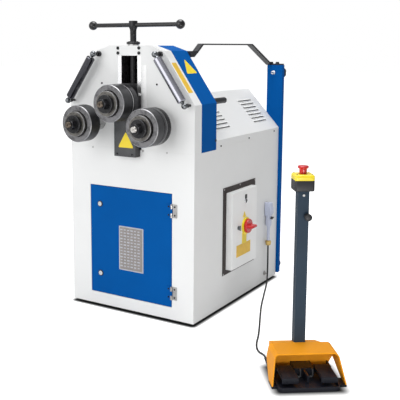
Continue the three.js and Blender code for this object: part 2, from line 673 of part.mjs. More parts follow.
const linkLowerX = side - link.lowerInset;
const linkRun = Math.hypot(linkLowerX - link.upperX, link.upperZ - link.lowerZ);
const linkTilt = Math.atan2(linkLowerX - link.upperX, link.upperZ - link.lowerZ);

function ballProfile(centre, from, to) {
  const points = [];
  for (let step = 0; step <= facets.arc; step += 1) {
    const angle = from + (to - from) * step / facets.arc;
    points.push([link.ball * Math.cos(angle), centre + link.ball * Math.sin(angle)]);
  }
  return points;
}

// Each link is one body with the two ball studs that hold it off the plate.
function makeLink(name, sign) {
  const neck = Math.acos(link.rod / link.ball);
  const half = linkRun / 2;
  const tubeEnd = half - link.tubeStart;
  const nutEnd = tubeEnd + link.lockNutDepth;
  const profile = [
    [0, -half - link.ball], ...ballProfile(-half, -Math.PI / 2, neck).slice(1), [link.rod, -nutEnd],
    [link.lockNut, -nutEnd], [link.lockNut, -tubeEnd], [link.tube, -tubeEnd], [link.tube, tubeEnd],
    [link.lockNut, tubeEnd], [link.lockNut, nutEnd], [link.rod, nutEnd],
    ...ballProfile(half, -neck, Math.PI / 2).slice(0, -1), [0, half + link.ball],
  ];
  const bar = turned(profile, 'z', facets.small).rotateY(-sign * linkTilt)
    .translate(sign * (link.upperX + linkLowerX) / 2, -link.standOff, (link.upperZ + link.lowerZ) / 2);
  const nutFace = -fit.seat - link.studNutDepth;
  const stud = (x, z) => turned([
    [0, -link.standOff], [link.stud, -link.standOff], [link.stud, nutFace], [link.studNut, nutFace],
    [link.studNut, -fit.seat], [0, -fit.seat],
  ], 'y', facets.small).translate(sign * x, 0, z);
  const studs = [stud(link.upperX, link.upperZ), stud(linkLowerX, link.lowerZ)];
  piece(name, joined(bar, ...studs), finishes.steel);
}

function pegGeometry() {
  const [start, end] = [head.bandEnd - head.bandSheet / 2, head.bandEnd + peg.length];
  const profile = [
    [0, start], [peg.radius, start], [peg.radius, end - peg.edge], [peg.radius - peg.edge, end], [0, end],
  ];
  return turned(profile, 'y', facets.small).translate(side - peg.inset, 0, peg.z);
}

// Drive inside the cabinet

function makeDrive() {
  const front = bearingPlate.rearFront + bearingPlate.thickness + fit.seat;
  const housing = cut(
    joined(block([-gearbox.left, gearbox.right], [front, gearbox.end], [gearbox.bottom, gearbox.top])),
    rod('y', gears.pinionShaft + fit.running, front - fit.overrun, gears.pinionShaftEnd + fit.running)
      .translate(0, 0, pinionZ),
  );
  piece('gearbox_housing', housing, finishes.motorGrey);
  const top = gearbox.bottom - fit.seat;
  const { flange, flangeDepth, body, bodyBottom, cowl, cowlBottom } = motor;
  const unit = joined(
    turned([
      [0, cowlBottom], [cowl, cowlBottom], [cowl, bodyBottom], [body, bodyBottom], [body, top - flangeDepth],
      [flange, top - flangeDepth], [flange, top], [0, top],
    ]),
    block(
      [-motor.boxWidth / 2, motor.boxWidth / 2], [0, body + motor.boxDepth], [motor.boxBottom, motor.boxTop],
    ),
  );
  piece('drive_motor', unit, finishes.motorGrey, [motor.x, motor.y, 0]);
}

// Control box on the right-hand side. Its own x runs outwards from the cabinet's side.

const controlBox = new THREE.Group();
controlBox.position.set(side, controlRear, 0);
machine.add(controlBox);

const lidStart = fit.seat * 2 + control.plate;
const lidAxisX = lidStart + lid.hingeUp;
const lidAxisY = lid.rear + lid.hingeOut;
const lidRise = lid.top - lid.bottom;
const lidKnuckles = lid.knuckleShares.map((share) => lid.bottom + lidRise * share);
const lidRod = (radius, from, to) =>
  rod('z', radius, from, to, facets.small).translate(lidAxisX, lidAxisY, 0);

function makeControlBox() {
  const c = control;
  const flangeOut = fit.seat + c.plate;
  const flange = block([fit.seat, flangeOut], [c.front, c.rear], [c.bottom, c.top]);
  const tub = block([-c.tubDepth, flangeOut], [c.tubFront, c.tubRear], [c.tubBottom, c.tubTop]);
  const hollow = block(
    [-c.tubDepth + c.plate, flangeOut + fit.overrun], [c.tubFront + c.plate, c.tubRear - c.plate],
    [c.tubBottom + c.plate, c.tubTop - c.plate],
  );
  const box = cut(joined(flange, tub), hollow);
  const back = -c.tubDepth + c.plate / 2;
  const face = back + c.backPlate;
  const wallGap = c.plate + c.backPlate;
  const blocks = [];
  const first = (c.tubFront + c.tubRear - contactor.pitch * (contactor.count - 1)) / 2;
  for (let index = 0; index < contactor.count; index += 1) {
    const y = first + index * contactor.pitch;
    blocks.push(block(
      [back, face + contactor.depth], [y - contactor.width / 2, y + contactor.width / 2],
      [contactor.z, contactor.z + contactor.height],
    ));
  }
  const rail = block(
    [back, face + contactor.railDepth], [c.tubFront + wallGap * 2, c.tubRear - wallGap * 2],
    [contactor.railZ, contactor.railZ + contactor.railHeight],
  );
  const plate = block(
    [back, face], [c.tubFront + wallGap, c.tubRear - wallGap], [c.tubBottom + wallGap, c.tubTop - wallGap],
  );
  const fittings = joined(plate, rail, ...blocks);
  const lugs = lidKnuckles.flatMap((z) => [
    lidRod(lid.knuckle, z - lid.lug, z - fit.running),
    lidRod(hinge.pin, z - lid.lug, z + lid.knuckleHeight),
    block(
      [flangeOut - c.plate / 2, lidAxisX], [lidAxisY - lid.web / 2, lidAxisY + lid.web / 2],
      [z - lid.lug, z - fit.running],
    ),
  ]);
  piece('control_box', box.add(fittings).add(joined(...lugs)), finishes.brown, [0, 0, 0], controlBox);
}

function makeLid() {
  const outside = lidStart + lid.depth;
  const hollow = block(
    [lidStart - fit.overrun, outside - lid.sheet], [lid.front + lid.sheet, lid.rear - lid.sheet],
    [lid.bottom + lid.sheet, lid.top - lid.sheet],
  );
  const pan = cut(joined(block([lidStart, outside], [lid.front, lid.rear], [lid.bottom, lid.top])), hollow);
  const knuckles = lidKnuckles.flatMap((z) => [
    lidRod(lid.knuckle, z, z + lid.knuckleHeight),
    block(
      [lidAxisX - lid.web / 2, lidAxisX + lid.web / 2], [lid.rear - lid.sheet / 2, lidAxisY],
      [z, z + lid.knuckleHeight],
    ),
  ]);
  const holeRadius = lidLock.radius / 2 + fit.running;
  const hole = rod('x', holeRadius, outside - lid.sheet - fit.overrun, outside + fit.overrun, facets.small)
    .translate(0, lidLock.y, lidLock.z);
  const bores = lidKnuckles.map((z) =>
    lidRod(hinge.pin + fit.running, z - fit.overrun, z + lid.knuckleHeight + fit.overrun));
  const panel = cut(pan.add(joined(...knuckles)), hole, ...bores);
  piece('control_lid', panel, finishes.white, [0, 0, 0], controlBox);

  const seat = outside + fit.seat;
  const s = mainSwitch;
  const collar = rod('x', s.collar, seat, seat + s.collarDepth).translate(0, s.y, s.z);
  piece('switch_collar', collar, finishes.yellow, [0, 0, 0], controlBox);
  const knobSeat = seat + s.collarDepth + fit.running;
  const knob = joined(
    rod('x', s.knob, knobSeat, knobSeat + s.knobDepth),
    block(
      [knobSeat + s.knobDepth / 2, knobSeat + s.knobDepth + s.gripDepth], [-s.grip / 2, s.grip / 2],
      [-s.gripWidth / 2, s.gripWidth / 2],
    ),
  );
  piece('switch_handle', knob, finishes.red, [0, s.y, s.z], controlBox);
  const l = lidLock;
  const key = joined(
    rod('x', l.radius, seat, seat + l.depth, facets.small),
    rod('x', l.radius / 2, outside - lid.sheet * 2, seat + l.depth / 2, facets.small),
    block(
      [seat, seat + l.depth + l.wingDepth], [-l.wingWidth / 2, l.wingWidth / 2], [-l.wing / 2, l.wing / 2],
    ),
  );
  piece('lid_lock', key, finishes.chrome, [0, l.y, l.z], controlBox);
}

// Outlet, plug and lead

const socketX = side + socket.standOff;
const socketY = cabinet.depth - socket.fromRear;

function makeOutlet() {
  const body = joined(
    rod('z', socket.radius, socket.split, socket.top).translate(socketX, socketY, 0),
    block(
      [side + fit.seat, socketX], [socketY - socket.radius, socketY + socket.radius],
      [socket.split, socket.top],
    ),
  );
  piece('outlet_housing', body, finishes.pale);
  const top = socket.split - fit.seat;
  const shell = turned([
    [0, plug.stemBottom], [plug.stem, plug.stemBottom], [plug.stem, plug.shoulder - plug.radius],
    [plug.radius, plug.shoulder], [plug.radius, top], [0, top],
  ]);
  piece('cord_plug', shell, finishes.pale, [socketX, socketY, 0]);
  const standOff = plug.radius + plugLever.standOff;
  const lever = joined(
    rod('x', plugLever.hub, standOff - plugLever.standOff + fit.seat, standOff + plugLever.arm, facets.small),
    block(
      [standOff, standOff + plugLever.arm], [-plugLever.length / 2, plugLever.length / 2],
      [-plugLever.arm / 2, plugLever.arm / 2],
    ),
  );
  piece('plug_lever', lever, finishes.black, [socketX, socketY, plugLever.z]);
  const nut = rod('z', gland.radius, gland.bottom, gland.top, facets.small);
  const neck = rod('z', plug.stem, gland.top - fit.overrun, plug.stemBottom - fit.seat, facets.small);
  piece('cord_gland', joined(nut, neck), finishes.brass, [socketX, socketY, 0]);
}

class RouteCurve extends THREE.CatmullRomCurve3 {
  constructor(points) {
    super(points.map((point) => new THREE.Vector3(...point)), false, 'centripetal');
  }
}

const reliefX = stand.centre - stand.width / 2 + relief.inset;

// The last stretch runs straight into the relief on the stand.
function reliefMouth(out) {
  const yaw = THREE.MathUtils.degToRad(stand.yaw);
  const [x, y] = [reliefX, stand.depth + fit.seat + relief.length + out];
  const sag = relief.z * (out / (relief.length * cord.sagShare)) ** 2;
  return [
    stand.x + x * Math.cos(yaw) - y * Math.sin(yaw), stand.y + x * Math.sin(yaw) + y * Math.cos(yaw),
    relief.z - sag,
  ];
}

function makeCord() {
  const curve = new RouteCurve([...cordRoute, ...cordLeadIn.map(reliefMouth)]);
  const section = new THREE.Shape();
  for (let index = 0; index < cord.facets; index += 1) {
    const angle = 2 * Math.PI * (index + 1 / 2) / cord.facets;
    const [x, y] = [cord.radius * Math.cos(angle), cord.radius * Math.sin(angle)];
    if (index === 0) section.moveTo(x, y);
    else section.lineTo(x, y);
  }
  const steps = Math.ceil(curve.getLength() / (cord.radius * 2 * cord.stepShare));
  const tube = new THREE.ExtrudeGeometry(section, {
    steps: Math.min(steps, cord.mostSteps), extrudePath: curve, bevelEnabled: false,
  });
  piece('foot_cord', tube, finishes.cord);
}

// Post and bow at the rear

const postTop = post.top + fit.seat;
const postInside = cabinet.depth + fit.seat + post.sheet;
const [postLeft, postRight] = [side - post.inset, side + post.proud];

function makePost() {
  const front = cabinet.depth + fit.seat;
  const channel = cut(
    joined(block([postLeft, postRight], [front, front + post.depth], [post.bottom, post.top])),
    block(
      [postLeft + post.sheet, postRight - post.sheet], [front + post.sheet, front + post.depth + fit.overrun],
      [post.bottom + post.sheet, post.top - post.sheet],
    ),
  );
  const { radius, depth, edge } = bumper;
  const padFace = postInside + post.depth + depth;
  const pad = turned([
    [0, postInside - post.sheet / 2], [radius, postInside - post.sheet / 2], [radius, padFace - edge],
    [radius - edge, padFace], [0, padFace],
  ], 'y', facets.small).translate(side - bumper.inset, 0, bumper.z);
  piece('rear_post', channel.add(toSolid(pad)), finishes.blue);
}

function makeBow() {
  const start = head.bandEnd + fit.seat;
  const end = cabinet.depth + fit.seat;
  const headX = head.slopeX + bow.pastSlope;
  const offset = postLeft + bow.endIn - headX;
  const plan = Math.atan2(offset, end - start);
  const run = Math.hypot(offset, end - start);
  const t = bow.thickness;
  const drop = (bow.rise - postTop) / bow.fallRun;
  // The bar's side view, along the bow and up, with the thick foot that bolts to the head.
  const outline = [
    [0, bow.footBottom], [bow.footRun, bow.footBottom], [bow.headRun + t, bow.footTop - t],
    [bow.riseRun + t / 2, bow.rise - t], [run - bow.fallRun, bow.rise - t],
    [run - t, postTop], [run + t, postTop], [run + t, postTop + t * drop], [run - bow.fallRun + t, bow.rise],
    [bow.riseRun - t / 2, bow.rise], [bow.headRun, bow.footTop], [0, bow.footTop],
  ];
  const bar = prism(outline, -bow.width / 2, bow.width / 2).rotateZ(Math.PI / 2 - plan)
    .translate(headX, start, 0);
  const clear = block(
    [headX - bow.width, headX + bow.width], [start - bow.width, start],
    [bow.footBottom - fit.overrun, bow.rise + fit.overrun],
  );
  const tab = block([postLeft, postLeft + bow.tab], [end, end + post.depth], [postTop, postTop + t]);
  piece('rear_bow', cut(joined(bar, tab), clear), finishes.black);
}

function makeRearKnob() {
  const start = postInside + fit.seat;
  const disc = start + rearKnob.standOff + post.depth;
  const knob = turned([
    [0, start], [rearKnob.stem, start], [rearKnob.stem, disc], [rearKnob.radius, disc],
    [rearKnob.radius, disc + rearKnob.depth], [0, disc + rearKnob.depth],
  ], 'y');
  piece('rear_knob', knob, finishes.black, [side - rearKnob.inset, 0, rearKnob.z]);
}

// Foot-switch stand. Its own x runs across it and y from its front edge to its rear.

const footStand = new THREE.Group();
footStand.position.set(stand.x, stand.y, 0);
footStand.rotation.z = THREE.MathUtils.degToRad(stand.yaw);
machine.add(footStand);

function roundedPlate(half, y0, y1, corner, z0, z1) {
  const shape = new THREE.Shape();
  shape.moveTo(-half, y1);
  shape.lineTo(-half, y0 + corner);
  shape.absarc(-half + corner, y0 + corner, corner, Math.PI, 3 * Math.PI / 2);
  shape.absarc(half - corner, y0 + corner, corner, 3 * Math.PI / 2, 2 * Math.PI);
  shape.lineTo(half, y1);
  const geometry = new THREE.ExtrudeGeometry(shape, {
    depth: z1 - z0, bevelEnabled: false, curveSegments: facets.tiny,
  });
  return geometry.translate(0, 0, z0);
}

const pivotHub = pedal.axleHub + fit.running;
const pivotY = stand.depth - pedal.pivotAhead;
const blockRear = stand.depth + stand.blockBehind;
const columnY = stand.depth - column.ahead;
const wallFront = guard.wallRear - guard.sheet;

function makeStandBase() {
  const s = stand;
  const half = s.width / 2;
  const tray = cut(
    joined(roundedPlate(half, 0, s.depth, s.corner, 0, s.rim).translate(s.centre, 0, 0)),
    roundedPlate(
      half - s.wall, s.wall, s.depth - s.recessRear, s.corner - s.wall, s.floor, s.rim + fit.overrun,
    ).translate(s.centre, 0, 0),
  );
  const pinEnd = pedal.outer + pedal.cheek;
  const innerRear = wallFront - fit.seat;
  const cheek = (x) => block(
    [x, x + pedal.cheek - fit.seat], [pivotY - pivotHub, innerRear], [s.floor / 2, pedal.pivotZ + pedal.axleHub],
  );
  const built = joined(
    block([-guard.footHalf, guard.footHalf], [guard.footFront, guard.footRear], [0, guard.footZ - fit.seat]),
    block([-s.ribHalf, s.ribHalf], [s.ribFront, innerRear], [s.floor / 2, s.ribTop]),
    block([-s.housingHalf, s.housingHalf], [s.housingFront, innerRear], [s.floor / 2, s.housingTop]),
    block([-s.blockHalf, s.blockHalf], [guard.wallRear + fit.seat, blockRear], [0, s.block]),
    rod('x', pedal.axle, -pinEnd + fit.seat, pinEnd - fit.seat, facets.small)
      .translate(0, pivotY, pedal.pivotZ),
    cheek(pedal.outer + fit.seat), cheek(-pinEnd),
  );
  piece('stand_base', tray.add(built), finishes.black, [0, 0, 0], footStand);
}

function makePedal(name, x0, x1) {
  const p = pedal;
  const under = p.top - p.thickness;
  const tread = sideways([
    [p.front, p.lipBottom], [p.front + p.lip, p.lipBottom], [p.front + p.lip, under], [p.rear, under],
    [p.rear, p.top], [p.front + p.nose, p.top], [p.front, p.top - p.nose],
  ], x0, x1);
  const hub = rod('x', p.axleHub, x0, x1, facets.small).translate(0, pivotY, p.pivotZ);
  const bore = rod('x', p.axle + fit.running, x0 - fit.overrun, x1 + fit.overrun, facets.small)
    .translate(0, pivotY, p.pivotZ);
  piece(name, cut(joined(tread, hub), bore), finishes.black, [0, 0, 0], footStand);
}

// The guard is a bent hood: roof, leaning sides cut back to two front feet, rear wall and column cover.
function makeGuard() {
  const g = guard;
  const lean = (z) => g.footHalf + (g.topHalf - g.footHalf) * (z - g.footZ) / (g.roof - g.footZ);
  const arch = mirroredX([
    [lean(-g.sheet), -g.sheet], [lean(g.roof - g.cornerRise), g.roof - g.cornerRise],
    [g.topHalf - g.cornerIn, g.roof - g.cornerIn], [g.topHalf - g.cornerRise, g.roof],
  ]);
  const wallBottom = stand.rim + fit.seat;
  const [far, start] = [g.footHalf + fit.overrun, g.footFront - fit.overrun];
  const sideView = sideways([
    [g.footFront, g.footZ], [g.footRear, g.footZ], [wallFront, g.knee], [wallFront, wallBottom],
    [g.wallRear + fit.overrun, wallBottom], [g.wallRear + fit.overrun, g.roof + fit.overrun],
    [g.front, g.roof + fit.overrun], [g.front, g.roof],
  ], -far, far);
  const tuck = [[g.tuck, wallBottom], [far, wallBottom], [far, g.knee], [lean(g.knee), g.knee]];
  const tuckLeft = tuck.map(([x, z]) => [-x, z]).reverse();
  const [cutFront, cutRear] = [wallFront, g.wallRear + fit.overrun];
  const hood = cut(
    joined(prism(arch, start, g.wallRear)).intersect(toSolid(sideView)),
    prism(drawnIn(arch, g.sheet), start - fit.overrun, wallFront),
    prism(tuck, cutFront, cutRear), prism(tuckLeft, cutFront, cutRear),
  );
  const top = (y) => g.roof - g.coverDrop * (y - wallFront) / (blockRear - wallFront);
  const cover = (wall) => {
    const [front, rear] = [wall ? g.wallRear : wallFront, blockRear - wall];
    const low = stand.block + fit.seat - wall;
    const body = sideways([
      [front, low], [rear, low], [rear, top(rear) - wall], [front, top(front) - wall],
    ], -far, far);
    const plan = plate([
      [g.coverLeft + wall, wallFront], [g.coverRight - wall, wallFront],
      [g.coverRight - g.coverTaper - wall, blockRear], [g.coverLeft + wall, blockRear],
    ], 0, g.roof + fit.overrun);
    return toSolid(body).intersect(toSolid(plan));
  };
  const hole = column.half + fit.seat;
  const columnWay = block([-hole, hole], [columnY - hole, columnY + hole], [g.footZ, g.roof + fit.overrun]);
  const shell = hood.add(cover(0)).subtract(cover(g.sheet));
  piece('stand_guard', cut(shell, columnWay), finishes.orange, [0, 0, 0], footStand);
}

function makeColumn() {
  const c = column;
  const bottom = stand.block + fit.seat;
  const square = (half, z0, z1) => block([-half, half], [columnY - half, columnY + half], [z0, z1]);
  const bore = square(c.half - c.wall, bottom + c.wall, c.top + fit.overrun);
  const tube = cut(joined(square(c.half, bottom, c.top)), bore);
  piece('stand_column', tube, finishes.slate, [0, 0, 0], footStand);
  const k = columnKnob;
  const seat = columnY - c.half - fit.seat;
  const knob = turned([
    [0, -k.depth], [k.radius - k.edge, -k.depth], [k.radius, -k.depth + k.edge], [k.radius, -k.edge],
    [k.radius - k.edge, 0], [0, 0],
  ], 'y', facets.small);
  piece('column_knob', knob, finishes.black, [k.x, seat, k.z], footStand);
}

function makeStopBox() {
  const b = stopBox;
  const box = (z0, z1) => {
    const shape = new THREE.Shape();
    shape.moveTo(-b.half + b.edge, -b.half);
    shape.lineTo(b.half - b.edge, -b.half);
    shape.lineTo(b.half, -b.half + b.edge);
    shape.lineTo(b.half, b.half - b.edge);
    shape.lineTo(b.half - b.edge, b.half);
    shape.lineTo(-b.half + b.edge, b.half);
    shape.lineTo(-b.half, b.half - b.edge);
    shape.lineTo(-b.half, -b.half + b.edge);
    return new THREE.ExtrudeGeometry(shape, { depth: z1 - z0, bevelEnabled: false }).translate(0, 0, z0);
  };
  const place = [0, columnY, 0];
  const mouth = (z0, z1) => rod('z', stopButton.stem + fit.running, z0, z1);
  const bottom = column.top + fit.seat;
  const bowl = cut(joined(box(bottom, b.caseTop)), mouth(bottom + b.edge, b.caseTop + fit.overrun));
  piece('stop_case', bowl, finishes.black, place, footStand);
  const cover = cut(
    joined(box(b.caseTop + fit.seat, b.lidTop)), mouth(b.caseTop - fit.overrun, b.lidTop + fit.overrun),
  );
  piece('stop_lid', cover, finishes.yellow, place, footStand);
  const s = stopButton;
  const button = turned([
    [0, b.caseTop - s.sunk], [s.stem, b.caseTop - s.sunk], [s.stem, s.neckBottom], [s.neck, s.neckBottom],
    [s.neck, s.capBottom - (s.cap - s.neck)], [s.cap, s.capBottom], [s.cap, s.top - s.edge],
    [s.cap - s.edge, s.top], [0, s.top],
  ]);
  piece('stop_button', button, finishes.red, place, footStand);
}

function makeRelief() {
  const r = relief;
  const start = stand.depth + fit.seat;
  const bore = cord.radius + fit.seat;
  const end = start + r.length;
  const sleeve = turned(
    [[0, start], [r.root, start], [r.tip, end - bore], [r.tip, end - fit.seat], [0, end - fit.seat]],
    'y', facets.small,
  );
  piece('cord_relief', sleeve, finishes.black, [reliefX, 0, r.z], footStand);
}

makePlinth();
makeShell();
makeDoor();
makeHinge('door_hinge_upper', hingeUpper);
makeHinge('door_hinge_lower', hingeLower);
makeLatch('door_latch_upper', latchUpper);
makeLatch('door_latch_lower', latchLower);
makeFrontCover();
makeFrontBearingPlate();
makeRearBearingPlate();
makeGibs();
makeCrosshead();
makeBlueCover();
makeHood();
makeLowerSet('left', -1, rollSets.left);
makeLowerSet('right', 1, rollSets.right);
makeLowerBearing('lower_left_bearing', -lowerShaft.x);
makeLowerBearing('lower_right_bearing', lowerShaft.x);
makePinion();
makeCarriage();
makeUpperSet();
makeSpindle();
makeLink('side_link_left', -1);
makeLink('side_link_right', 1);
makeDrive();
makeControlBox();
makeLid();
makeOutlet();
makeCord();
makePost();
makeBow();
makeRearKnob();
makeStandBase();
makePedal('pedal_left', -pedal.outer, -pedal.inner);
makePedal('pedal_right', pedal.inner, pedal.outer);
makeGuard();
makeColumn();
makeStopBox();
makeRelief();

export default ringRoller;
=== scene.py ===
import math

import bmesh
import bpy
from mathutils import Matrix, Vector


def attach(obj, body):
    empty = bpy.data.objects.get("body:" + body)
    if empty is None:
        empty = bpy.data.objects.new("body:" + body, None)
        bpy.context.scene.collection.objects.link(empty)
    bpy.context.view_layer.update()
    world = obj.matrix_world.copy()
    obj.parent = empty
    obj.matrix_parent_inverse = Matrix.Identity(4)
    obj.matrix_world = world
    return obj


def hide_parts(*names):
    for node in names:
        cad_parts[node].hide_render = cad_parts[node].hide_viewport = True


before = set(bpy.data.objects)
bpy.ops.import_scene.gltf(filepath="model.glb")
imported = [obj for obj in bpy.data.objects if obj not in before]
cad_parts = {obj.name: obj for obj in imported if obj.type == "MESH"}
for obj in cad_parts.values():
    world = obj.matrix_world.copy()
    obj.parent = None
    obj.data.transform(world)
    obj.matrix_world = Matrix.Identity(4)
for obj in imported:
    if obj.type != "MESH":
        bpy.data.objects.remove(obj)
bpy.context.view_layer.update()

MID = 0.416
PI = math.pi
TO_FRONT, TO_RIGHT, TO_TOP = (0, -1, 0), (1, 0, 0), (0, 0, 1)


# Places, from machine millimetres to the row frame in metres

def at(x, y, z):
    return Vector((x / 1000, y / 1000 - MID, z / 1000))


STAND_X, STAND_Y, STAND_YAW = 960.5, -298, math.radians(36)
MACHINE = Matrix.Translation(at(0, 0, 0))
STAND = Matrix.Translation(at(STAND_X, STAND_Y, 0)) @ Matrix.Rotation(STAND_YAW, 4, "Z")


def moved(x, y, z, base=MACHINE):
    """A place shifted by millimetres, with its axes kept."""
    return base @ Matrix.Translation(Vector((x, y, z)) / 1000)


def add_object(name, data):
    obj = bpy.data.objects.new(name, data)
    bpy.context.collection.objects.link(obj)
    return obj


# Camera, at the photograph's viewing angle

PICTURE, FOCAL, CENTRE_X, CENTRE_Y, SENSOR = 400, 746.5265, 165.9484, 155.5359, 36
CAMERA_PLACE = (1.8227, -3.0082, 1.1627)
CAMERA_YAW, CAMERA_PITCH, CAMERA_ROLL = 0.564, 0.1443, 0.0014


def make_camera():
    yaw, pitch, roll = CAMERA_YAW, CAMERA_PITCH, CAMERA_ROLL
    level = Vector((math.cos(yaw), math.sin(yaw), 0))
    ahead = Vector((-math.sin(yaw) * math.cos(pitch), math.cos(yaw) * math.cos(pitch), -math.sin(pitch)))
    upright = level.cross(ahead)
    right = level * math.cos(roll) + upright * math.sin(roll)
    up = upright * math.cos(roll) - level * math.sin(roll)
    data = bpy.data.cameras.new("camera")
    data.sensor_fit = "HORIZONTAL"
    data.sensor_width = SENSOR
    data.lens = FOCAL / PICTURE * SENSOR
    data.shift_x = (PICTURE / 2 - CENTRE_X) / PICTURE
    data.shift_y = (CENTRE_Y - PICTURE / 2) / PICTURE
    data.clip_end = 60
    camera = add_object("camera", data)
    camera.matrix_world = Matrix.Translation(CAMERA_PLACE) @ Matrix((right, up, -ahead)).transposed().to_4x4()
    bpy.context.scene.camera = camera


make_camera()


# Shader helpers

SLOTS = {}


def feed(net, inputs, values):
    """Links or sets inputs, by name or number."""
    for key, value in values.items():
        if isinstance(value, bpy.types.NodeSocket):
            net.links.new(value, inputs[key])
        else:
            inputs[key].default_value = value


def node(net, kind, values):
    made = net.nodes.new(kind)
    feed(net, made.inputs, values)
    return made


def maths(net, operation, *values, kind="ShaderNodeMath", out="Value"):
    made = node(net, kind, {})
    made.operation = operation
    feed(net, made.inputs, dict(enumerate(values)))
    return made.outputs[out]


def blend(net, factor, first, second):
    made = node(net, "ShaderNodeMix", {})
    made.data_type = "RGBA"
    feed(net, made.inputs, {"Factor": factor, "A": first, "B": second})
    return made.outputs["Result"]


def tree(name, slot):
    made = bpy.data.materials.new(name)
    made.use_nodes = True
    SLOTS[made.name] = slot
    return made, made.node_tree, made.node_tree.nodes["Principled BSDF"]


def noise(net, scale, detail, stretch=None):
    out = node(net, "ShaderNodeTexCoord", {}).outputs["Object"]
    if stretch:
        out = node(net, "ShaderNodeMapping", {"Vector": out, "Scale": stretch}).outputs["Vector"]
    values = {"Vector": out, "Scale": scale, "Detail": detail, "Roughness": 0.55}
    return node(net, "ShaderNodeTexNoise", values).outputs["Fac"]


def ramp(net, fac, stops):
    made = node(net, "ShaderNodeValToRGB", {"Fac": fac})
    elements = made.color_ramp.elements
    while len(elements) < len(stops):
        elements.new(0.5)
    for element, (place, color) in zip(elements, stops):
        element.position = place
        element.color = (*color, 1)
    return made.outputs["Color"]


def spread(net, fac, low, high):
    values = {"Value": fac, "From Min": 0.3, "From Max": 0.7, "To Min": low, "To Max": high}
    return node(net, "ShaderNodeMapRange", values).outputs["Result"]


def shade(color, share):
    return tuple(min(1, channel * share) for channel in color)


def raised(net, height, strength, distance):
    values = {"Height": height, "Strength": strength, "Distance": distance}
    return node(net, "ShaderNodeBump", values).outputs["Normal"]


def finish(
    name, slot, color, rough=0.4, metal=0.0, vary=0.06, patch=9.0, grain=700.0, depth=0.00012, coat=0.0,
    stretch=None, spread_rough=0.08, specular=0.5,
):
    """A finish with broad patches of tone and a fine grain in roughness and bump."""
    made, net, shader = tree(name, slot)
    broad, fine = noise(net, patch, 4.0, stretch), noise(net, grain, 2.0, stretch)
    feed(net, shader.inputs, {
        "Base Color": ramp(net, broad, [(0.3, shade(color, 1 - vary)), (0.7, shade(color, 1 + vary))]),
        "Roughness": spread(net, fine, rough - spread_rough, rough + spread_rough),
        "Normal": raised(net, fine, 0.5, depth), "Metallic": metal, "Coat Weight": coat,
        "Coat Roughness": 0.2, "Specular IOR Level": specular,
    })
    return made


def machined(name, slot, color, rough, rings, mottle, dark, axis="Y", metal=1.0):
    """Turned metal: fine rings round the piece's own axis over a mottled ground."""
    made, net, shader = tree(name, slot)
    blotch = noise(net, mottle, 5.0)
    coords = node(net, "ShaderNodeTexCoord", {}).outputs["Object"]
    wave = node(net, "ShaderNodeTexWave",
        {"Vector": coords, "Scale": rings, "Distortion": 1.5, "Detail": 2.0})
    wave.wave_type = "RINGS"
    wave.rings_direction = axis
    feed(net, shader.inputs, {
        "Base Color": ramp(net, blotch,
        [(0.32, shade(color, dark)), (0.5, color), (0.72, shade(color, 1.25))]),
        "Roughness": spread(net, blotch, rough - 0.07, rough + 0.12),
        "Normal": raised(net, wave.outputs["Fac"], 0.25, 0.0001), "Metallic": metal,
    })
    return made


def paint_inner_shade(source, name, middle, inner):
    """The same coat, with painted shade: near-black on the faces that turn to the cover's own middle."""
    made = source.copy()
    made.name = name
    SLOTS[name] = SLOTS[source.name]
    net = made.node_tree
    surface = node(net, "ShaderNodeNewGeometry", {}).outputs
    kind = "ShaderNodeVectorMath"
    away = maths(net, "SUBTRACT", surface["Position"], middle, kind=kind, out="Vector")
    inward = maths(net, "LESS_THAN", maths(net, "DOT_PRODUCT", away, surface["True Normal"], kind=kind), 0)
    base = net.nodes["Principled BSDF"].inputs["Base Color"]
    net.links.new(blend(net, inward, base.links[0].from_socket, (*inner, 1)), base)
    return made


# Materials

WHITE = finish(
    "white_coat", "white_paint", (0.80, 0.805, 0.80), 0.42, vary=0.02, patch=4, grain=900, depth=0.0001)
BLUE = finish(
    "blue_coat", "blue_paint", (0.0004, 0.086, 0.335), 0.6, vary=0.05, patch=5, grain=900, depth=0.0001,
    specular=0.04)


# Painted shade: the blue cover's inner faces are near-black, so the head's hollow reads black through the
# slot.
BLUE_INNER_SHADE = paint_inner_shade(BLUE, "blue_cover_inner_shade", (0, -0.295, 0.95), (0.004, 0.004, 0.005))
DARK_BLUE = finish("dark_blue_rubber", "blue_paint", (0.010, 0.030, 0.080), 0.5, vary=0.1)
BLACK = finish("black_enamel", "black_paint", (0.013, 0.013, 0.015), 0.4, vary=0.15, coat=0.2)
GLOSS_BLACK = finish(
    "black_gloss", "black_paint", (0.005, 0.005, 0.006), 0.22, vary=0.15, grain=300, depth=0.00003,
    spread_rough=0.03, coat=0.2)
BLACK_PLASTIC = finish(
    "black_plastic", "black_plastic", (0.016, 0.016, 0.018), 0.46, vary=0.15, grain=1400, depth=0.0002)
RUBBER = finish("cord_rubber", "cord_jacket", (0.014, 0.014, 0.015), 0.5, vary=0.12, grain=1200)
PLATE = finish(
    "machined_plate", "satin_steel", (0.50, 0.50, 0.49), 0.34, 1.0, 0.12, 14, 500, 0.00008,
    stretch=(1, 1, 0.15))
GIB = finish(
    "machined_gib", "satin_steel", (0.78, 0.78, 0.79), 0.3, 1.0, 0.05, 20, 600, 0.00008, stretch=(1, 1, 0.06))
DARK_PLATE = finish("dark_plate", "dark_plate", (0.075, 0.077, 0.08), 0.34, 0.3, 0.15, 18, 500, 0.0001)
SATIN = finish(
    "satin_tube", "satin_steel", (0.40, 0.40, 0.45), 0.22, 1.0, 0.04, 30, 800, 0.00001, stretch=(1, 1, 0.05),
    spread_rough=0.03)
# A darker copy of the satin tube: painted shade for the left link's tube.
SATIN_SHADED = finish(
    "satin_tube_shaded", "satin_steel", (0.075, 0.075, 0.085), 0.22, 1.0, 0.05, 30, 800, 0.00001,
    stretch=(1, 1, 0.05), spread_rough=0.03)
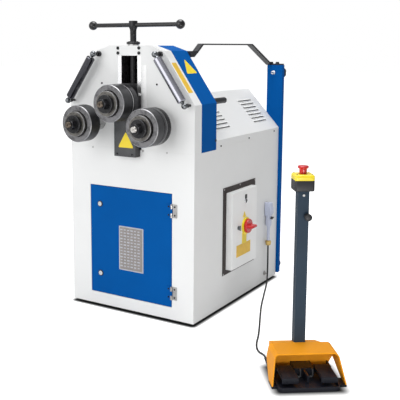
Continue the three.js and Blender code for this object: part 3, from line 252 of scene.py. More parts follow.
LINK_STEEL = finish(
    "link_steel", "plated_steel", (0.20, 0.21, 0.22), 0.17, 1.0, 0.05, 30, 500, 0.00001, spread_rough=0.03)
CHROME = finish(
    "bright_plating", "plated_steel", (0.74, 0.75, 0.77), 0.12, 1.0, 0.05, 30, 500, 0.00003,
    spread_rough=0.04)
ZINC = finish("zinc_plating", "plated_steel", (0.46, 0.45, 0.44), 0.34, 1.0, 0.22, 45, 700, 0.0001)
OXIDE = machined("black_oxide", "oxide_steel", (0.012, 0.012, 0.014), 0.26, 500, 40, 0.6, metal=0.3)
OXIDE_Z = machined("black_oxide_upright", "oxide_steel", (0.014, 0.014, 0.016), 0.28, 500, 40, 0.6, "Z", 0.3)
ROLL_FACE = machined("ground_face", "ground_steel", (0.20, 0.198, 0.204), 0.46, 380, 70, 0.5)
ROLL_RING = machined("ground_ring", "ground_steel", (0.16, 0.153, 0.142), 0.38, 420, 60, 0.55)
ROLL_BODY = machined("charcoal_roll", "oxide_steel", (0.058, 0.058, 0.062), 0.38, 300, 50, 0.75, metal=0.7)
# A lighter copy of the ground steel: a painted highlight on the rolls' chamfers and thin bands.
ROLL_HIGHLIGHT = machined("ground_steel_highlight", "ground_steel", (0.42, 0.42, 0.43), 0.42, 500, 30, 0.8)
SHAFT_BRIGHT = machined("bright_shaft", "satin_steel", (0.62, 0.60, 0.57), 0.26, 420, 40, 0.6)
SHAFT_OILED = machined("oiled_shaft", "satin_steel", (0.16, 0.13, 0.105), 0.34, 420, 60, 0.55)
STEEL = machined("turned_steel", "satin_steel", (0.42, 0.42, 0.42), 0.28, 420, 35, 0.75)
ENAMEL = finish("grey_enamel", "motor_enamel", (0.10, 0.12, 0.14), 0.45, vary=0.12)
BROWN = finish("brown_coat", "brown_paint", (0.020, 0.011, 0.009), 0.4, vary=0.12, specular=0.3)
LID = finish("lid_coat", "lid_paint", (0.88, 0.885, 0.88), 0.40, vary=0.02, patch=5, grain=900)
YELLOW = finish("yellow_shell", "yellow_plastic", (0.86, 0.68, 0.02), 0.34, vary=0.05, grain=1100, coat=0.2)
LABEL = finish("yellow_film", "yellow_plastic", (0.86, 0.66, 0.03), 0.42, vary=0.05, patch=30, grain=500)
OCHRE = finish("ochre_film", "yellow_plastic", (0.80, 0.50, 0.04), 0.42, vary=0.08, patch=30, grain=500)
RED = finish("red_plastic", "red_plastic", (0.56, 0.008, 0.012), 0.28, vary=0.08, grain=900, coat=0.35)
PALE = finish("pale_plastic", "pale_plastic", (0.52, 0.56, 0.70), 0.30, vary=0.05, grain=900, coat=0.2)
BRASS = finish("brass", "brass_fitting", (0.62, 0.44, 0.16), 0.26, 1.0, 0.12, 40, 700, 0.00006)
ORANGE = finish(
    "orange_shell", "orange_shell", (0.74, 0.29, 0.012), 0.5, vary=0.07, patch=9, grain=1000,
    stretch=(1, 0.35, 1), specular=0.12)
TRAY = finish(
    "moulded_tray", "black_plastic", (0.007, 0.008, 0.013), 0.36, vary=0.2, grain=1200, specular=0.3)
SLATE = finish("slate_coat", "slate_paint", (0.020, 0.037, 0.058), 0.5, vary=0.10, grain=900, specular=0.2)
PAPER = finish("pale_print", "dark_plate", (0.44, 0.46, 0.50), 0.45, vary=0.1, patch=60)
INK = finish("dark_print", "dark_plate", (0.26, 0.235, 0.225), 0.5, vary=0.16, patch=70)
SCALE_WHITE = finish("scale_white", "white_paint", (0.97, 0.97, 0.96), 0.4, vary=0.04, patch=50)
FLOOR = finish(
    "pale_floor", "white_paint", (0.72, 0.72, 0.72), 0.65, vary=0.008, patch=1.5, grain=60, depth=0.00005,
    specular=0.2)


def painted_shadow_fade(net, centre, turn, half, fade):
    """The fade of a painted contact shadow: from 0 against a footprint on the floor to 1 at the fade's
    distance from it.
    """
    local = node(net, "ShaderNodeMapping", {
        "Vector": node(net, "ShaderNodeNewGeometry", {}).outputs["Position"],
        "Location": (*centre, 0), "Rotation": (0, 0, turn),
    })
    local.vector_type = "TEXTURE"
    last = local.outputs["Vector"]
    for operation, *values in (("ABSOLUTE",), ("SUBTRACT", (*half, 0)), ("MAXIMUM", (0, 0, 0))):
        last = maths(net, operation, last, *values, kind="ShaderNodeVectorMath", out="Vector")
    reach = maths(net, "LENGTH", last, kind="ShaderNodeVectorMath")
    ease = node(net, "ShaderNodeMapRange", {"Value": reach, "From Min": fade[0], "From Max": fade[1]})
    ease.interpolation_type = "SMOOTHSTEP"
    return ease.outputs["Result"]


# Painted contact shadow: the floor turns near-black round the cabinet's and the tray's footprints, and its
# glow fades there too.
FLOOR_GLOW, FLOOR_PAINTED_SHADOW = 0.75, (0.02, 0.02, 0.02, 1)
CABINET_HALF, CABINET_FADE = (0.307, 0.403), (0.009, 0.037)
TRAY_MIDDLE, TRAY_HALF, TRAY_FADE = (-0.004, 0.106, 0), (0.104, 0.098), (0, 0.06)


def lift_floor():
    """The floor glows to the camera alone, as a sweep that reads white, and carries a painted contact shadow
    where things stand.
    """
    net = FLOOR.node_tree
    shader = net.nodes["Principled BSDF"]
    tray = STAND @ Vector(TRAY_MIDDLE)
    clear = maths(
        net, "MULTIPLY", painted_shadow_fade(net, (0, 0), 0, CABINET_HALF, CABINET_FADE),
        painted_shadow_fade(net, tray.xy, STAND_YAW, TRAY_HALF, TRAY_FADE))
    seen = node(net, "ShaderNodeLightPath", {}).outputs["Is Camera Ray"]
    feed(net, shader.inputs, {
        "Base Color": blend(net, clear, FLOOR_PAINTED_SHADOW, shader.inputs["Base Color"].links[0].from_socket),
        "Emission Color": (1, 1, 1, 1),
        "Emission Strength": maths(net, "MULTIPLY", maths(net, "MULTIPLY", seen, FLOOR_GLOW), clear),
    })


lift_floor()


# Mesh helpers. Every shape is drawn in millimetres.

def piece(name, build, material, body="frame", place=MACHINE, bevel=0.0, smooth=35, replaces=()):
    bm = bmesh.new()
    build(bm)
    bmesh.ops.scale(bm, vec=(0.001, 0.001, 0.001), verts=bm.verts)
    bmesh.ops.recalc_face_normals(bm, faces=bm.faces)
    mesh = bpy.data.meshes.new(name)
    bm.to_mesh(mesh)
    bm.free()
    obj = add_object(name, mesh)
    materials = material if isinstance(material, (list, tuple)) else [material]
    for one in materials:
        mesh.materials.append(one)
    for polygon in mesh.polygons:
        polygon.use_smooth = True
    mesh.set_sharp_from_angle(angle=math.radians(smooth))
    obj.matrix_world = place
    if bevel:
        add_bevel(obj, bevel)
    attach(obj, body)
    if replaces:
        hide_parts(*replaces)
    return obj


def add_bevel(obj, width, segments=2):
    made = obj.modifiers.new("edges", "BEVEL")
    made.width = width / 1000
    made.segments = segments
    made.limit_method = "ANGLE"
    made.angle_limit = math.radians(32)
    made.use_clamp_overlap = True


def facing(out, up=TO_TOP):
    out = Vector(out).normalized()
    across = Vector(up).cross(out)
    across = across.normalized() if across.length > 1e-6 else Vector((1, 0, 0))
    return Matrix((across, out.cross(across), out)).transposed().to_4x4()


def toward(centre, out, up=TO_TOP):
    """A turn of the z axis to a direction, at a point in millimetres."""
    return Matrix.Translation(Vector(centre)) @ facing(out, up)


def add_loft(bm, rings, bands=None, material=0, closed=False, turn=None):
    """Skins rings of points. A ring of one point is a tip, and open ends are capped."""
    made = [[bm.verts.new(turn @ point if turn else point) for point in ring] for ring in rings]
    pairs = list(zip(made, made[1:])) + ([(made[-1], made[0])] if closed else [])
    for index, (one, two) in enumerate(pairs):
        count = max(len(one), len(two))
        for i in range(count):
            j = (i + 1) % count
            corners = [one[i % len(one)], one[j % len(one)], two[j % len(two)], two[i % len(two)]]
            unique = list(dict.fromkeys(corners))
            if len(unique) > 2:
                bm.faces.new(unique).material_index = bands[index] if bands else material
    if not closed:
        for ring, band in ((made[0], 0), (made[-1], -1)):
            if len(ring) > 2:
                bm.faces.new(ring).material_index = bands[band] if bands else material


def ring_of(radius, height, axis="Z", centre=(0, 0, 0), count=64):
    """radius may be a function of the angle, and height a function of the radius."""
    points = []
    for i in range(1 if radius == 0 else count):
        angle = 2 * PI * i / count
        reach = radius(angle) if callable(radius) else radius
        level = height(reach) if callable(height) else height
        across, rise = reach * math.cos(angle), reach * math.sin(angle)
        flat = {"Z": (across, rise, level), "Y": (across, level, rise), "X": (level, across, rise)}[axis]
        points.append(Vector(centre) + Vector(flat))
    return points


def hexagon(corner, turn=0.0):
    """The radius of a hexagon's edge at an angle."""
    step = PI / 3
    return lambda angle: corner * math.cos(step / 2) / math.cos((angle - turn) % step - step / 2)


def add_turned(bm, profile, axis="Z", centre=(0, 0, 0), count=64, turn=None, closed=False):
    """profile is (radius, height) or (radius, height, material of the stretch that follows)."""
    rings = [ring_of(point[0], point[1], axis, centre, count) for point in profile]
    bands = [point[2] if len(point) > 2 else 0 for point in profile]
    add_loft(bm, rings, bands, closed=closed, turn=turn)


def turned(
    name, profile, material, body="frame", centre=(0, 0, 0), axis="Z", place=None, count=96, smooth=35,
    closed=False, replaces=(),
):
    home = place if place is not None else moved(*centre)
    return piece(
        name, lambda bm: add_turned(bm, profile, axis, count=count, closed=closed), material, body, home,
        smooth=smooth, replaces=replaces)


def add_box(bm, low, high, material=0):
    low, high = Vector(low), Vector(high)
    made = bmesh.ops.create_cube(bm, size=1)["verts"]
    for vert in made:
        vert.co = Vector([(low[i] + high[i]) / 2 + vert.co[i] * (high[i] - low[i]) for i in range(3)])
    for face in {face for vert in made for face in vert.link_faces}:
        face.material_index = material


def blocks(name, parts, material, body="frame", bevel=0.0, place=MACHINE):
    """parts are pairs of a low corner and a high corner."""
    def build(bm):
        for low, high in parts:
            add_box(bm, low, high)
    return piece(name, build, material, body, place, bevel)


def rounded(points, radius, steps=5):
    """A convex outline of (x, y) points with its corners rounded."""
    outline = []
    count = len(points)
    for index in range(count):
        before, here, after = (Vector(points[(index + k) % count]) for k in (-1, 0, 1))
        one, two = (before - here).normalized(), (after - here).normalized()
        reach = radius / math.tan(one.angle(two) / 2)
        start, end = here + one * reach, here + two * reach
        for step in range(steps + 1):
            t = step / steps
            outline.append(start * (1 - t) ** 2 + here * 2 * t * (1 - t) + end * t ** 2)
    return outline


def rectangle(low, high, corner, steps=5):
    """A rounded outline between two opposite corners."""
    return rounded([low, (high[0], low[1]), high, (low[0], high[1])], corner, steps)


def add_plate(bm, outline, low, high, material=0, turn=None, edge=0.0):
    """A flat plate on the x, y plane between two heights, with its upper edge drawn in a little."""
    middle = sum((Vector(point) for point in outline), Vector((0, 0))) / len(outline)
    rings = [[Vector((*point, level)) for point in outline] for level in (low, high - edge)]
    if edge:
        drawn = []
        for point in outline:
            away = Vector(point) - middle
            drawn.append(Vector((*(Vector(point) - away.normalized() * edge), high)))
        rings.append(drawn)
    add_loft(bm, rings, material=material, turn=turn)


def add_screw(bm, centre, out, radius, height):
    """A cap screw with a hexagon socket."""
    ease = radius * 0.12
    add_turned(bm, [
        (radius, 0), (radius, height - ease), (radius - ease, height), (hexagon(radius * 0.56), height),
        (hexagon(radius * 0.5), height * 0.35), (0, height * 0.3),
    ], count=24, turn=toward(centre, out))


def screws(name, groups, material, body="frame", place=MACHINE):
    """Cap screws in groups of (centres, direction, radius, height)."""
    def build(bm):
        for centres, out, radius, height in groups:
            for centre in centres:
                add_screw(bm, centre, out, radius, height)
    piece(name, build, material, body, place)


def add_bolt(bm, centre, out, corner, height, washer, thick, up=TO_TOP):
    """A hexagon bolt head on a washer, with its corners chamfered."""
    turn = toward(centre, out, up)
    add_turned(bm, [
        (washer, 0), (washer, thick * 0.8), (washer * 0.97, thick), (0, thick),
    ], count=32, turn=turn)
    start, flat, shape = thick * 0.9, corner * 0.86, hexagon(corner, 0.2)
    add_loft(bm, [
        ring_of(shape, start, count=36),
        ring_of(shape, lambda reach: start + height - max(0, reach - flat) * 0.577, count=36),
        ring_of(flat * 0.98, start + height, count=36),
        ring_of(0, start + height * 0.97, count=36),
    ], turn=turn)


def cad(material, bevel, *names, segments=2):
    """CAD nodes that stay, with their own finish and softened edges."""
    for name in names:
        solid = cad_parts[name]
        solid.data.materials.clear()
        solid.data.materials.append(material)
        add_bevel(solid, bevel, segments)


def sweep_path(points, radius):
    """Rings of a round tube along points."""
    rings, normal = [], None
    for before, point, after in zip(points[:1] + points, points, points[1:] + points[-1:]):
        tangent = (after - before).normalized()
        if normal is None:
            normal = tangent.orthogonal().normalized()
        normal = (normal - tangent * normal.dot(tangent)).normalized()
        across = tangent.cross(normal)
        angles = [2 * PI * i / 16 for i in range(16)]
        rings.append([point + (normal * math.cos(a) + across * math.sin(a)) * radius for a in angles])
    return rings


# Cord from the plug over the floor to the stand, along the same route as its solid

PLUG_X, PLUG_Y = 338, 696
CORD_RADIUS = 4
CORD_ROUTE = [
    (PLUG_X, PLUG_Y, 199.7), (338, 696, 170), (338, 696.5, 130), (338, 696.5, 90), (338, 695, 55),
    (339.5, 689, 27),
    (344.5, 674, 10.5), (352, 652, 5), (362, 625, 4.2), (383, 568, 4.2), (404, 512, 4.2), (430, 442, 4.2),
    (463, 358, 4.2), (498, 276, 4.2), (533, 196, 4.2), (568, 116, 4.2), (596, 48, 4.2), (617, -9, 4.2),
    (634, -47, 4.2), (652, -77, 4.2), (671, -98, 5.2), (690, -114, 8.6),
]
CORD_LEAD = [26, 12, 5, 0]
RELIEF_X, RELIEF_Z, RELIEF_START, RELIEF_LENGTH = -107.5, 13, 205.3, 52


def smooth_line(points, steps=10):
    """A centripetal curve through the points."""
    ends = [points[0] * 2 - points[1]] + points + [points[-1] * 2 - points[-2]]
    line = []
    for four in zip(ends, ends[1:], ends[2:], ends[3:]):
        knots = [0.0]
        for one, two in zip(four, four[1:]):
            knots.append(knots[-1] + math.sqrt((two - one).length))
        for step in range(steps):
            t = knots[1] + (knots[2] - knots[1]) * step / steps
            level = four
            for spans in (((0, 1), (1, 2), (2, 3)), ((0, 2), (1, 3)), ((1, 2),)):
                shares = [(t - knots[i]) / (knots[j] - knots[i]) for i, j in spans]
                level = [one * (1 - s) + two * s for one, two, s in zip(level, level[1:], shares)]
            line.append(level[0])
    line.append(points[-1])
    return line


def make_cord():
    points = [at(*point) for point in CORD_ROUTE]
    for out in CORD_LEAD:
        sag = RELIEF_Z * (out / (RELIEF_LENGTH * 2.2)) ** 2
        local = Vector((RELIEF_X, RELIEF_START + RELIEF_LENGTH + out, RELIEF_Z - sag))
        points.append(STAND @ (local / 1000))
    line = smooth_line(points)
    cord = piece(
        "foot_switch_cord", lambda bm: add_loft(bm, sweep_path([p * 1000 for p in line], CORD_RADIUS)),
        RUBBER, place=Matrix.Identity(4), replaces=("foot_cord",))


make_cord()


# Cabinet

SIDE = 320
HEAD_TOP, HEAD_RUN, HEAD_RISE = (171, 1147), 149, 217
HOOD_TOP, HOOD_RUN, HOOD_RISE = (151, 956), 169, 187


def slope(sign, top, run, rise):
    """A slanted side: x runs to the rear, y up the slope and z outwards, with the origin at the ridge."""
    length = math.hypot(run, rise)
    up = Vector((-sign * run, 0, rise)) / length
    out = Vector((sign * rise, 0, run)) / length
    turn = Matrix((up.cross(out), up, out)).transposed().to_4x4()
    return Matrix.Translation((sign * top[0], 0, top[1])) @ turn


def make_cabinet():
    cad(BLACK, 1, "base_plinth")
    cad(WHITE, 2.5, "cabinet_shell", segments=3)
    cad(WHITE, 2, "head_front_cover", segments=3)
    # The side cover's inward faces carry painted shade.
    cad(BLUE_INNER_SHADE, 2, "head_side_cover", segments=3)
    cad(WHITE, 0.6, "rear_hood")
    cad(PLATE, 0.8, "front_bearing_plate", "rear_bearing_plate")
    cad(GIB, 1, "slide_gib_left", "slide_gib_right")
    cad(PLATE, 1, "crosshead_block")
    cad(ENAMEL, 3, "gearbox_housing")
    cad(ENAMEL, 2, "drive_motor")
    cad(STEEL, 0.8, "lower_left_bearing", "lower_right_bearing", "upper_bearing")
    cad(STEEL, 0.4, "drive_pinion")
    large = [(x, 0, z) for x, z in ((-58, 1158.5), (49.6, 1158.7), (-58, 1137.4), (49.5, 1138))]
    small = [(x, 0, z) for x, z in ((-145, 1008.4), (138.9, 1009.7))]
    low = [(x, 0, z) for x, z in ((-198.6, 725), (68.1, 727.3), (188.2, 728))]
    screws("front_screws", [(large, TO_FRONT, 6.8, 4), (small, TO_FRONT, 4.2, 2.2)], OXIDE)
    screws("low_screws", [(low, TO_FRONT, 3.6, 1.2)], ZINC)
    along = ((226.6, 741.6), (499.2, 748.5), (777.3, 754.9))
    screws("side_screws", [
        ([(sign * SIDE, y, z) for y, z in along], (sign, 0, 0), 4.2, 2) for sign in (-1, 1)], OXIDE)


LOUVRE = {"count": 7, "lowest": 58, "pitch": 21, "length": 135, "width": 6, "starts": (248, 628)}


def make_louvres():
    """Pressed lips over the hood's slots, on both slopes."""
    section = [(6.5, -0.2), (5, 2.1), (2, 4.2), (-1.5, 5), (-1.5, 4.1), (1.6, 3.3), (4.2, 1.3), (5.2, -0.2)]
    ends = ((-3, 0.0), (1, 0.55), (5, 0.9), (10, 1))

    def lips(bm):
        for sign in (-1, 1):
            for start in LOUVRE["starts"]:
                first, last = sorted((sign * start, sign * (start + LOUVRE["length"])))
                stations = [(first + inset, share) for inset, share in ends]
                stations += [(last - inset, share) for inset, share in reversed(ends)]
                for index in range(LOUVRE["count"]):
                    y = LOUVRE["lowest"] + index * LOUVRE["pitch"] - math.hypot(HOOD_RUN, HOOD_RISE)
                    add_loft(bm, [[
                        Vector((x, y + 6 + (v - 6) * (0.4 + 0.6 * share), max(0.02, n) * share + 0.02 * k))
                        for k, (v, n) in enumerate(section)
                    ] for x, share in stations], turn=slope(sign, HOOD_TOP, HOOD_RUN, HOOD_RISE))
    piece("louvre_lips", lips, WHITE, smooth=50)


def make_covers():
    """Small fittings and bare films on the covers."""
    def films(bm):
        right = slope(1, HEAD_TOP, HEAD_RUN, HEAD_RISE)
        add_plate(bm, rectangle((8, -204), (43, -58), 2), 0.02, 0.35, 1, right)
        add_plate(bm, rounded([(123.5, -41), (81, -113.5), (166, -113.5)], 6), 0.02, 0.4, 0, right)
    piece("slope_films", films, [LABEL, OCHRE])
    grommet = [(6.5, 0), (6.5, 2.5), (4.5, 4.2), (0, 4.6)]
    turned("cover_grommet", grommet, DARK_BLUE, place=moved(SIDE, 176, 771) @ facing(TO_RIGHT), count=24)


HINGE_X, HINGE_HEIGHTS, HINGE_FACE = 213, (485.5, 129.5), -2.3
LATCH_X, LATCH_HEIGHTS = -162, {"upper": 474, "lower": 157}
PLATE_LOW, PLATE_HIGH, PLATE_RIM = Vector((-60, 190)), Vector((68.5, 388)), Vector((5, 5))


def make_door():
    cad(BLUE, 0.9, "door_panel")
    cad(ZINC, 0.5, "door_hinge_upper", "door_hinge_lower")
    cad(CHROME, 0.6, "door_latch_upper", "door_latch_lower")
    for body, across in (("door", -15), ("frame", 15)):
        centres = [(HINGE_X + across, HINGE_FACE, z + dz) for z in HINGE_HEIGHTS for dz in (-18, 18)]
        screws(f"{body}_hinge_screws", [(centres, TO_FRONT, 3.9, 1.6)], OXIDE, body)
    for name, z in LATCH_HEIGHTS.items():
        ring = [(10.6, 0), (13.6, 0), (13.6, -1.6), (12.4, -2.6), (10.6, -2.6)]
        turned(
            f"latch_ring_{name}", ring, BLACK_PLASTIC, "door", (LATCH_X, -0.05, z), "Y", count=48,
            closed=True)

    def plate(bm):
        turn = facing(TO_FRONT)
        add_plate(bm, rectangle(PLATE_LOW, PLATE_HIGH, 3), 0.05, 0.9, 0, turn, 0.3)
        add_plate(bm, rectangle(PLATE_LOW + PLATE_RIM, PLATE_HIGH - PLATE_RIM, 2), 0.91, 1.1, 1, turn)
        for row in range(13):
            for column in range(6):
                middle = Vector((PLATE_LOW.x + 13 + column * 18.2, PLATE_HIGH.y - 16 - row * 13.6))
                half = Vector((5.2, 2.4) if (row + column) % 3 else (6.4, 3.0))
                add_plate(bm, rectangle(middle - half, middle + half, 0.8, 2), 1.11, 1.2, 0, turn)
    piece("door_plate", plate, [PAPER, INK], "door")


# Rolls, nuts and shafts

LOWER_X, LOWER_Z, UPPER_Z = 165, 843, 934
ROLLS = {
    "lower_left": dict(
        centre=(-LOWER_X, 0, LOWER_Z), body="lower_left", front=153, back=89, grooves=(), bright=(), nut=40,
        tip=SHAFT_OILED, shoulder=0, rear=180),
    "lower_right": dict(
        centre=(LOWER_X, 0, LOWER_Z), body="lower_right", front=153, back=52, grooves=(103, 75, 67),
        bright=((87, 85),), nut=18, tip=SHAFT_BRIGHT, shoulder=0, rear=180),
    "upper": dict(
        centre=(0, 0, UPPER_Z), body="upper_set", front=150.5, back=44, grooves=(88, 75),
        bright=((84.5, 79),), nut=5, tip=SHAFT_OILED, shoulder=-35.3, rear=87.7),
}
SHAFT_RADIUS, SHOULDER, THREAD, ROLL_RADIUS, RING_RADIUS = 25, 38, 12, 78, 52.5
RING_DEPTH, WASHER_DEPTH, NUT_DEPTH, TIP_LENGTH = 14, 14, 22, 11


def make_roll(name, spec):
    front, back, full = -spec["front"], -spec["back"], ROLL_RADIUS
    nose = front - RING_DEPTH
    face, ring, body, edge, dark = range(5)
    rest = dark if name == "lower_right" else body
    outer = []
    for groove in spec["grooves"]:
        # Groove walls take the near-black oxide: painted shade in the creases.
        after = body if groove > 80 or name == "upper" else dark
        outer.append((-groove - 1.4, [
            (full, -groove - 1.4, dark), (75.4, -groove - 1.0, dark), (75.4, -groove + 1.0, dark),
            (full, -groove + 1.4, after)]))
    # The thin bands and the chamfers take the lighter ground steel, as a painted highlight.
    for start, end in spec["bright"]:
        outer.append((-start, [
            (full, -start, edge), (78.05, -start + 0.4, edge), (78.05, -end - 0.4, edge),
            (full, -end, rest)]))
    profile = [
        (25.4, nose, ring), (51.3, nose, edge), (RING_RADIUS, nose + 1.2, ring),
        # The undercut round the ring is near-black oxide: a painted shadow line.
        (RING_RADIUS, front - 2.2, dark),
        (53.2, front + 1.0, dark), (55.4, front + 1.0, dark), (55.8, front, face), (75.4, front, edge),
        (77.6, front + 2.2, edge), (full, front + 3, body),
    ]
    for _, part in sorted(outer):
        profile += part
    profile += [
        (full, back - 3, body), (75.5, back, dark), (38.2, back, dark), (38.2, back - 6, dark),
        (25.4, back - 6, dark),
    ]
    turned(
        f"{name}_ring_roll", profile, [ROLL_FACE, ROLL_RING, ROLL_BODY, ROLL_HIGHLIGHT, OXIDE], spec["body"],
        spec["centre"], "Y", count=128, closed=True, replaces=(f"{name}_roll",), smooth=25)


def make_nut(name, spec):
    seat = -spec["front"] - RING_DEPTH - 0.3
    step = seat - WASHER_DEPTH
    front = step - NUT_DEPTH
    turn = math.radians(spec["nut"])

    def build(bm):
        add_turned(bm, [
            (12.4, seat, 0), (36.8, seat, 0), (38, seat - 1.2, 0), (38, step + 1.6, 1), (36.4, step, 0),
            (12.4, step, 0),
        ], "Y", closed=True, count=96)
        shape = hexagon(23, turn)
        flat = 20.4
        add_loft(bm, [ring_of(reach, level, "Y", count=72) for reach, level in (
            (12.4, front + 1.6), (13.6, front), (flat * 0.97, front),
            (shape, lambda reach: front + max(0, reach - flat) * 0.6), (shape, step - 0.05),
            (12.4, step - 0.05),
        )], [0, 0, 1, 0, 0, 0], closed=True)

    piece(
        f"{name}_hex_nut", build, [OXIDE, ROLL_BODY], spec["body"],
        moved(*spec["centre"]), replaces=(f"{name}_nut",), smooth=25)


GEAR = {"module": 6, "teeth": 34, "pinion": 22, "front": 95, "width": 30}


def gear_phase():
    """The angle of a tooth that makes the right-hand gear mesh with the pinion."""
    distance = GEAR["module"] * (GEAR["teeth"] + GEAR["pinion"]) / 2
    mesh = math.atan2(math.sqrt(distance ** 2 - LOWER_X ** 2), LOWER_X)
    step = 2 * PI / GEAR["pinion"]
    nearest = math.floor((-mesh - PI / 2) / step + 0.5) * step + PI / 2
    gap = PI - mesh - (nearest + mesh) * GEAR["pinion"] / GEAR["teeth"]
    return gap + PI / GEAR["teeth"]


def make_shaft(name, spec):
    front, back = -spec["front"], -spec["back"]
    seat = front - RING_DEPTH
    tip = seat - 0.3 - WASHER_DEPTH - NUT_DEPTH - TIP_LENGTH

    def build(bm):
        thread = []
        level = tip + 2.2
        while level < tip + TIP_LENGTH - 1:
            thread += [(THREAD, level, 0), (THREAD - 0.7, level + 0.8, 0)]
            level += 1.6
        add_turned(bm, [
            (0, tip + 8, 0), (2.3, tip + 7, 0), (2.6, tip + 1.4, 0), (4.0, tip, 0), (10.6, tip, 0),
            (THREAD, tip + 1.4, 0),
            *thread, (THREAD, tip + TIP_LENGTH, 1), (THREAD, seat, 1), (SHAFT_RADIUS, seat, 1),
            (SHAFT_RADIUS, back - 6.4, 1), (SHAFT_RADIUS, back + 0.3, 1), (37.2, back + 0.3, 1),
            (SHOULDER, back + 1.1, 1), (SHOULDER, spec["shoulder"] - 0.8, 1), (37.2, spec["shoulder"], 1),
            (SHAFT_RADIUS, spec["shoulder"], 1),
            (SHAFT_RADIUS, spec["rear"], 1), (0, spec["rear"], 1),
        ], "Y", count=96)
        if name == "upper":
            return
        phase = gear_phase() if name == "lower_right" else PI - gear_phase()
        step = 2 * PI / GEAR["teeth"]
        pitch = GEAR["module"] * GEAR["teeth"] / 2
        tip_radius, root_radius = pitch + 0.7 * GEAR["module"], pitch - 1.1 * GEAR["module"]

        flanks = ((root_radius, -0.21), (tip_radius, -0.1), (tip_radius, 0.1), (root_radius, 0.21))

        def outline(level, inset=0.0):
            ring = []
            for tooth in range(GEAR["teeth"]):
                for radius, share in flanks:
                    angle = phase + (tooth + share) * step
                    ring.append(Vector((
                        (radius - inset) * math.cos(angle), level, (radius - inset) * math.sin(angle))))
            return ring

        count = 4 * GEAR["teeth"]
        first, last = GEAR["front"], GEAR["front"] + GEAR["width"]
        add_loft(bm, [
            ring_of(25.1, first, "Y", count=count), outline(first, 0.8), outline(first + 0.8),
            outline(last - 0.8),
            outline(last, 0.8), ring_of(25.1, last, "Y", count=count),
        ], [1] * 6, closed=True)

    piece(
        f"{name}_roll_shaft", build, [spec["tip"], STEEL], spec["body"],
        moved(*spec["centre"]), replaces=(f"{name}_shaft",), smooth=30)


def make_rolls():
    for name, spec in ROLLS.items():
        make_roll(name, spec)
        make_nut(name, spec)
        make_shaft(name, spec)


# Slide, spindle and handle

SPINDLE_Y, HANDLE_Z, SLIDE_FACE = 30, 1254.5, -38.4


def make_slide():
    cad(BLACK, 1.2, "slide_block")
    cad(DARK_PLATE, 1, "slide_cover_plate")
    blocks(
        "pointer_bracket", [((44, -34, 951), (58, -22, 966)), ((50, -26, 957), (61, -18, 974))], BLACK,
        "carriage", 1)
    blocks("pointer", [((56, -22, 962.5), (72, -18.5, 972))], SCALE_WHITE, "carriage", 1.2)
    corners = [(x, SLIDE_FACE, z) for z in (949, 713) for x in (-38, 38)]
    screws("slide_screws", [([(55, -22, 977)], TO_FRONT, 3, 4), (corners, TO_FRONT, 4, 2.5)], OXIDE,
        "carriage")

    def film(bm):
        outline = rounded([(-33.5, 741), (46.5, 741), (6.5, 809)], 5)
        add_plate(bm, outline, 0.02, 0.4, 0, toward((0, SLIDE_FACE + 0.1, 0), TO_FRONT))
    piece("slide_film", film, LABEL, "carriage")

    def scale(bm):
        turn = facing(TO_FRONT)
        add_plate(bm, rectangle((67, 910), (86, 1089), 1.5), 0.02, 0.9, 0, turn)
        for index in range(35):
            z, end = 916 + index * 5, 68 + (8 if index % 5 == 0 else 4.5)
            add_plate(bm, [(68, z), (end, z), (end, z + 0.5), (68, z + 0.5)], 0.9, 0.96, 1, turn)
    piece("slide_scale", scale, [SCALE_WHITE, PAPER])


def make_spindle():
    core, crest = 12.9, 13.5
    thread = [(0, 980), (12, 980), (core, 981.5)]
    level = 983.0
    while level < 1214:
        thread += [(core, level), (crest, level + 0.9), (crest, level + 2.2), (core, level + 3.1)]
        level += 4
    profile = thread + [
        (13.5, level + 2), (13.5, 1230), (13.9, 1234), (15.6, 1239.5), (18.1, 1244.5), (18.5, 1246.5),
        (18.5, 1269.6),
        (18.0, 1271.2), (16.4, 1272), (0, 1272),
    ]
    turned(
        "lead_screw", profile, OXIDE_Z, "spindle", (0, SPINDLE_Y, 0), count=64, replaces=("spindle",),
        smooth=28)

    collar = [
        (13.8, 1127.3), (20, 1127.3), (20, 1174.3), (28, 1174.3), (28.5, 1174.9), (28.5, 1183),
        (27.3, 1184.3),
        (13.8, 1184.3),
    ]
    turned(
        "spindle_collar", collar, BLACK, centre=(0, SPINDLE_Y, 0), count=96, closed=True,
        replaces=("spindle_nut",))
    centres = [(x, SPINDLE_Y + y, 1184.2) for x, y in ((-21.5, 0), (21.5, 0), (0, -21.5), (0, 21.5))]
    screws("collar_screws", [(centres, TO_TOP, 4, 2.6)], OXIDE)

    centre, radius, inner = 222, 19.5, 9
    start = math.acos(inner / radius)
    angles = [-start + (PI / 2 + start) * step / 14 for step in range(15)]
    ball = [(radius * math.cos(angle), centre + radius * math.sin(angle)) for angle in angles[:-1]]
    ball.append((0, centre + radius))
    bar = [(r, -h) for r, h in reversed(ball)] + ball
    turned(
        "cross_handle", bar, GLOSS_BLACK, "handle", (10, SPINDLE_Y, HANDLE_Z), "X", count=48,
        replaces=("handle_bar",))


# Side links

LINK_TOP, LINK_LOW, LINK_OFF, BALL, TUBE, TUBE_START = (157, 1133.5), (298, 930), 45, 13, 18.2, 19.5


